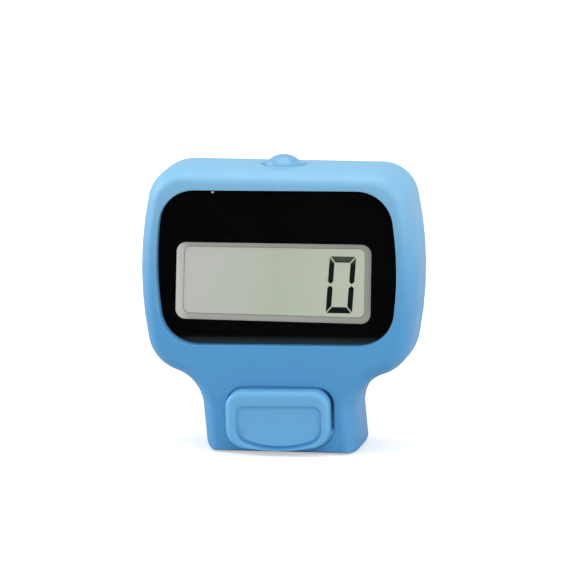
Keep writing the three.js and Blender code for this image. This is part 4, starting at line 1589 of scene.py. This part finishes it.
@dataclass
class FingerLoop:
    """The elastic band: one strip, lapped over itself, with holes and a mushroom peg."""

    rubber: Material
    width: float = 10.0
    thickness: float = 1.3
    finger_radius: float = 8.3
    centre: float = 17.0
    finger_depth: float = 18.2
    corner: float = 3.2
    seat: float = 0.3
    lap_gap: float = 0.3
    inner_end: float = math.radians(48.0)
    outer_end: float = math.radians(-50.0)
    hole_radius: float = 1.3
    hole_pitch: float = math.radians(26.0)
    peg_radius: float = 1.0
    peg_head: float = 1.6
    peg_head_height: float = 0.8
    peg_edge: float = 0.35
    peg_root: float = 0.3
    peg_under: float = 0.1
    peg_crown: tuple[Flat, ...] = ((0.9, 0.05), (0.6, 0.0))
    round_edge: float = 0.3
    rise_steps: int = 12
    flat_steps: int = 4

    def _path(self) -> list[Flat]:
        """The middle line of the band.

        Returns:
            Its points in depth and height, from its inner to its outer end.
        """
        radius = self.finger_radius + self.thickness / 2
        flat = span("case_screw_1")[1].y + self.seat + self.thickness / 2
        turn = flat + self.corner
        finger = Circle(self.finger_depth, self.centre, radius)
        low, high = (Circle(turn, self.centre + side * (radius - self.corner), self.corner) for side in (-1, 1))
        lap = self.thickness + self.lap_gap
        shares = [i / self.rise_steps for i in range(1, self.rise_steps)]
        inner_shares = [i / self.flat_steps for i in range(1, self.flat_steps)]
        return [
            *finger.arc(0.0, self.inner_end, -QUARTER),
            *((turn + (self.finger_depth - turn) * (1 - s), self.centre - radius) for s in inner_shares),
            *low.arc(0.0, -QUARTER, -HALF_TURN),
            *((flat, low.z + (high.z - low.z) * s) for s in inner_shares),
            *high.arc(0.0, HALF_TURN, QUARTER),
            *((turn + (self.finger_depth - turn) * s, self.centre + radius + lap * s * s * (3 - 2 * s))
              for s in shares),
            *finger.arc(lap, QUARTER, self.outer_end),
        ]

    def _section(self) -> list[Flat]:
        """The band's cross-section.

        Returns:
            Its points across the width and out from the finger.
        """
        across, out = self.width / 2 - self.round_edge, self.thickness / 2 - self.round_edge
        corners = ((1, -1, -QUARTER), (1, 1, 0.0), (-1, 1, QUARTER), (-1, -1, HALF_TURN))
        return [point for sx, sy, start in corners for point in
                Circle(sx * across, sy * out, self.round_edge).arc(0.0, start, start + QUARTER, FINE_EDGE)]

    def build(self) -> None:
        """Builds the band with its holes and peg."""
        path, section = [Vector(point) for point in self._path()], self._section()
        shell = Shell()
        rings = []
        for i, at in enumerate(path):
            along = (path[min(i + 1, len(path) - 1)] - path[max(i - 1, 0)]).normalized()
            rings.append(shell.ring(Vector((x, at.x - along.y * t, at.y + along.x * t)) for x, t in section))
        inner = self.finger_radius + self.thickness + self.lap_gap
        depths = (inner - self.lap_gap / 2, inner + self.thickness + 2 * self.lap_gap)
        rod = [(self.hole_radius, depth) for depth in depths]
        cutters = [self._aimed("hole_cutter", rod, turn * self.hole_pitch) for turn in (1, 0, -1)]
        band = worked(shell.closed("elastic_band", rings), cut_out=cutters)
        settle(band, self.rubber, Body.HOUSING, Slot.BAND, "finger_band")
        neck = inner + self.thickness + self.lap_gap
        head = neck + self.peg_head_height
        bulge = Circle(self.peg_head - self.peg_edge, neck + self.peg_edge, self.peg_edge)
        profile = [
            (self.peg_radius, inner - self.lap_gap - self.peg_root), (self.peg_radius, neck),
            (self.peg_head - self.peg_under, neck), *bulge.arc(0.0, -QUARTER, QUARTER / 2, LEAST_ARC_STEPS),
            *((self.peg_radius * share, head - low) for share, low in self.peg_crown),
        ]
        settle(self._aimed("band_peg", profile, 0.0), self.rubber, Body.HOUSING, Slot.BAND)

    def _aimed(self, name: str, profile: Sequence[Flat], angle: float) -> Piece:
        """Makes a turned form that points out from the finger.

        Args:
            name: Its name.
            profile: Its radius and its distance from the finger's middle at each step.
            angle: How far up or down it points.

        Returns:
            The object.
        """
        piece = spun(name, profile, steps=PEG_STEPS)
        place = Matrix.Translation(Vector((0.0, self.finger_depth, self.centre)) * MM)
        piece.data.transform(place @ Matrix.Rotation(angle, 4, "X"))
        return piece


@dataclass
class Interior:
    """Finishes for the CAD solids that stay as they are, inside the housing."""

    finishes: dict[Finish, tuple[str, ...]]

    def dress(self) -> None:
        """Gives each carried-over CAD node its material."""
        for finish, nodes in self.finishes.items():
            material = finish.make()
            for node in nodes:
                dress(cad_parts[node], material)
                log.info("%s keeps its CAD shape, finish %s", node, material.name)


@dataclass
class Studio:
    """Pale floor, soft lamps and the camera at the photograph's viewing angle."""

    azimuth: float = 9.3
    elevation: float = 9.3
    roll: float = -0.25
    distance: float = 1000.0
    scale: float = 8.075
    target: Spot = (0.0, -7.0, 18.0)
    target_pixel: Flat = (276.0, 310.9)
    clip: Flat = (0.05, 50.0)
    floor_size: float = 8000.0
    floor_tone: float = 0.68
    floor_glow: float = 0.5
    ambient: float = 0.42
    mirrored: float = 0.6
    lamp_angle: float = 50.0
    lamps: tuple[tuple[str, Spot, float], ...] = (
        ("overhead_lamp", (0.0, 40.0, 1000.0), 1.3),
        ("left_lamp", (-940.0, 0.0, 340.0), 1.95),
        ("right_lamp", (940.0, -100.0, 340.0), 1.1),
        ("front_lamp", (210.0, -790.0, 570.0), 0.75),
    )

    def build(self) -> None:
        """Sets up the whole studio."""
        self._camera()
        self._world()
        for name, place, strength in self.lamps:
            self._lamp(name, place, strength)
        self._floor()
        bpy.context.scene.view_settings.view_transform = "Standard"

    def _camera(self) -> None:
        """Places the camera so that the target falls on its pixel."""
        az, el, roll = (math.radians(a) for a in (self.azimuth, self.elevation, self.roll))
        forward = Vector((-math.sin(az) * math.cos(el), math.cos(az) * math.cos(el), -math.sin(el)))
        right = Vector((math.cos(az), math.sin(az), 0.0))
        up = right.cross(forward)
        across = right * math.cos(roll) + up * math.sin(roll)
        upward = up * math.cos(roll) - right * math.sin(roll)
        target = Vector(self.target)
        eye = target - forward * self.distance
        shift = [(IMAGE_SIZE / 2 - pixel) / self.scale for pixel in self.target_pixel]
        ahead = (target + across * shift[0] - upward * shift[1] - eye).normalized()
        side = ahead.cross(upward).normalized()
        data = bpy.data.cameras.new("photo_camera")
        data.sensor_width = SENSOR_WIDTH
        data.lens = self.scale * self.distance * SENSOR_WIDTH / IMAGE_SIZE
        data.clip_start, data.clip_end = self.clip
        camera = bpy.data.objects.new("photo_camera", data)
        turn = Matrix((side, side.cross(ahead), -ahead)).transposed().to_4x4()
        camera.matrix_world = Matrix.Translation(eye * MM) @ turn
        bpy.context.scene.collection.objects.link(camera)
        bpy.context.scene.camera = camera

    def _world(self) -> None:
        """White to the eye, softer in reflections and softest as a light."""
        world = bpy.data.worlds.new("studio")
        bpy.context.scene.world = world
        canvas = Canvas(world)
        glossy = canvas.node("LightPath", output="Is Glossy Ray")
        strength = self.ambient + canvas.camera_share() * (1 - self.ambient)
        strength += glossy * (self.mirrored - self.ambient)
        shader = canvas.node("Background", sockets={"Color": (1.0, 1.0, 1.0, 1.0), "Strength": strength})
        canvas.finish(shader, "OutputWorld")

    def _lamp(self, name: str, place: Spot, strength: float) -> None:
        """Adds one far soft lamp that shines on the counter.

        Args:
            name: The lamp's name.
            place: The direction that it shines from.
            strength: Its strength.
        """
        data = bpy.data.lights.new(name, "SUN")
        data.angle, data.energy = math.radians(self.lamp_angle), strength
        lamp = bpy.data.objects.new(name, data)
        at = Vector(place)
        lamp.matrix_world = Matrix.Translation(at * MM) @ (-at).to_track_quat("-Z", "Y").to_matrix().to_4x4()
        bpy.context.scene.collection.objects.link(lamp)

    def _floor(self) -> None:
        """Lays a wide pale floor under the foot."""
        half = self.floor_size / 2
        shell = Shell()
        shell.plate(shell.level([(-half, -half), (half, -half), (half, half), (-half, half)], 0.0))
        floor = shell.piece("studio_floor")
        material = bpy.data.materials.new("pale_floor")
        canvas = Canvas(material)
        cloud = canvas.noise(canvas.node("TexCoord", output="Object"), 60.0, 3.0)
        tone = canvas.blend(cloud * 0.3, (self.floor_tone,) * 3, (self.floor_tone * 0.97,) * 3)
        glow = canvas.blend(canvas.camera_share(), (0.0, 0.0, 0.0), (self.floor_glow,) * 3)
        canvas.finish(canvas.surface(
            Base_Color=tone, Roughness=0.8, Specular_IOR_Level=0.0, Emission_Color=glow, Emission_Strength=1.0
        ))
        dress(floor, material)


def main() -> None:
    """Builds the counter's looks, sub-assembly by sub-assembly."""
    logging.basicConfig(level=logging.INFO, format="%(name)s: %(message)s")
    lens = BowedForm(15.0, 13.65, 32.95, 4.5, 4.5, 43.0, math.radians(0.7))
    key = ButtonForm(6.52, 0.6, 8.2, 2.4, 2.1, 26.0)
    hole = ButtonForm(6.78, 0.5, 8.5, 2.65, 2.3, 26.0, 0.5, math.radians(0.6))
    dish = ButtonForm(5.36, 0.85, 6.12, 1.9, 0.95, 12.0, 0.55)
    dome_offset = 0.15
    # The case's pale tone is painted light on the upper head.
    case = MouldedPlastic("case_blue", linear(71, 148, 202), pale=(0.21, 0.485, 0.71))
    steel = SheetMetal("plated_steel", (0.55, 0.56, 0.58))
    head = HousingForm(BowedForm(17.45, 9.5, 35.6, 5.4, 4.8, 45.4))
    Housing(head, lens, hole, dome_offset, case.make(), steel.make()).build()
    glazing = (
        ClearAcrylic("lens_acrylic"), BlackPrint("mask_ink", lens.base, math.tan(lens.turn)),
        DisplayFrame("display_frame_grey", span("lcd_polariser")[0].y), SegmentInk("driven_segment", 23.6, 24.4),
        # Pale colour of the painted glint on the lens's edge.
        MouldedPlastic("painted_glint_pale", linear(176, 184, 190)),
    )
    Display(lens, *(finish.make() for finish in glazing)).build()
    ThumbButton(key, hole, dish, MouldedPlastic("button_blue", linear(99, 169, 216)).make()).build()
    # The dome's lighter blue is painted top light, like the case's pale top.
    glossy_lit_dome = MouldedPlastic("dome_blue", linear(114, 170, 210), 0.2, grain_depth=0.002)
    ResetDome(dome_offset, glossy_lit_dome.make()).build()
    FingerLoop(BandRubber("band_rubber", linear(80, 150, 206)).make()).build()
    laminate = Laminate("board_laminate", (0.02, 0.13, 0.06), (0.04, 0.24, 0.1), (0.6, 0.58, 0.52))
    Interior({
        DisplayFilm("display_film"): ("lcd_polariser",),
        TintedGlass("display_glass", (0.6, 0.68, 0.62), 0.6): ("lcd_front_glass", "lcd_rear_glass"),
        SheetMetal("reflector_foil", (0.5, 0.53, 0.48), 0.45, 0.03): ("lcd_reflector",),
        MouldedPlastic("white_moulding", (0.72, 0.72, 0.68), 0.5):
            ("lcd_holder", "count_switch_plunger", "reset_switch_plunger"),
        BandRubber("zebra_rubber", (0.05, 0.05, 0.055), 0.3): ("elastomer_connector",),
        laminate: ("circuit_board",),
        MouldedPlastic("black_resin", (0.01, 0.01, 0.011), 0.3, 0.4, 0.01): ("chip_resin", "resistor"),
        MouldedPlastic("fired_ceramic", (0.42, 0.3, 0.18), 0.5, 0.08, 0.004): ("capacitor",),
        SheetMetal("zinc_steel", (0.58, 0.58, 0.57)): ("board_screw_1", "board_screw_2", "board_screw_3"),
        MouldedPlastic("black_moulding", (0.012, 0.012, 0.013), 0.5):
            ("battery_holder", "count_switch_body", "reset_switch_body"),
        SheetMetal("cell_steel", (0.62, 0.62, 0.6), 0.22): ("button_cell",),
        SheetMetal("spring_brass", (0.62, 0.42, 0.16), 0.25):
            ("battery_contact_negative", "battery_contact_positive"),
    }).dress()
    Studio().build()


if __name__ == "__main__":
    main()
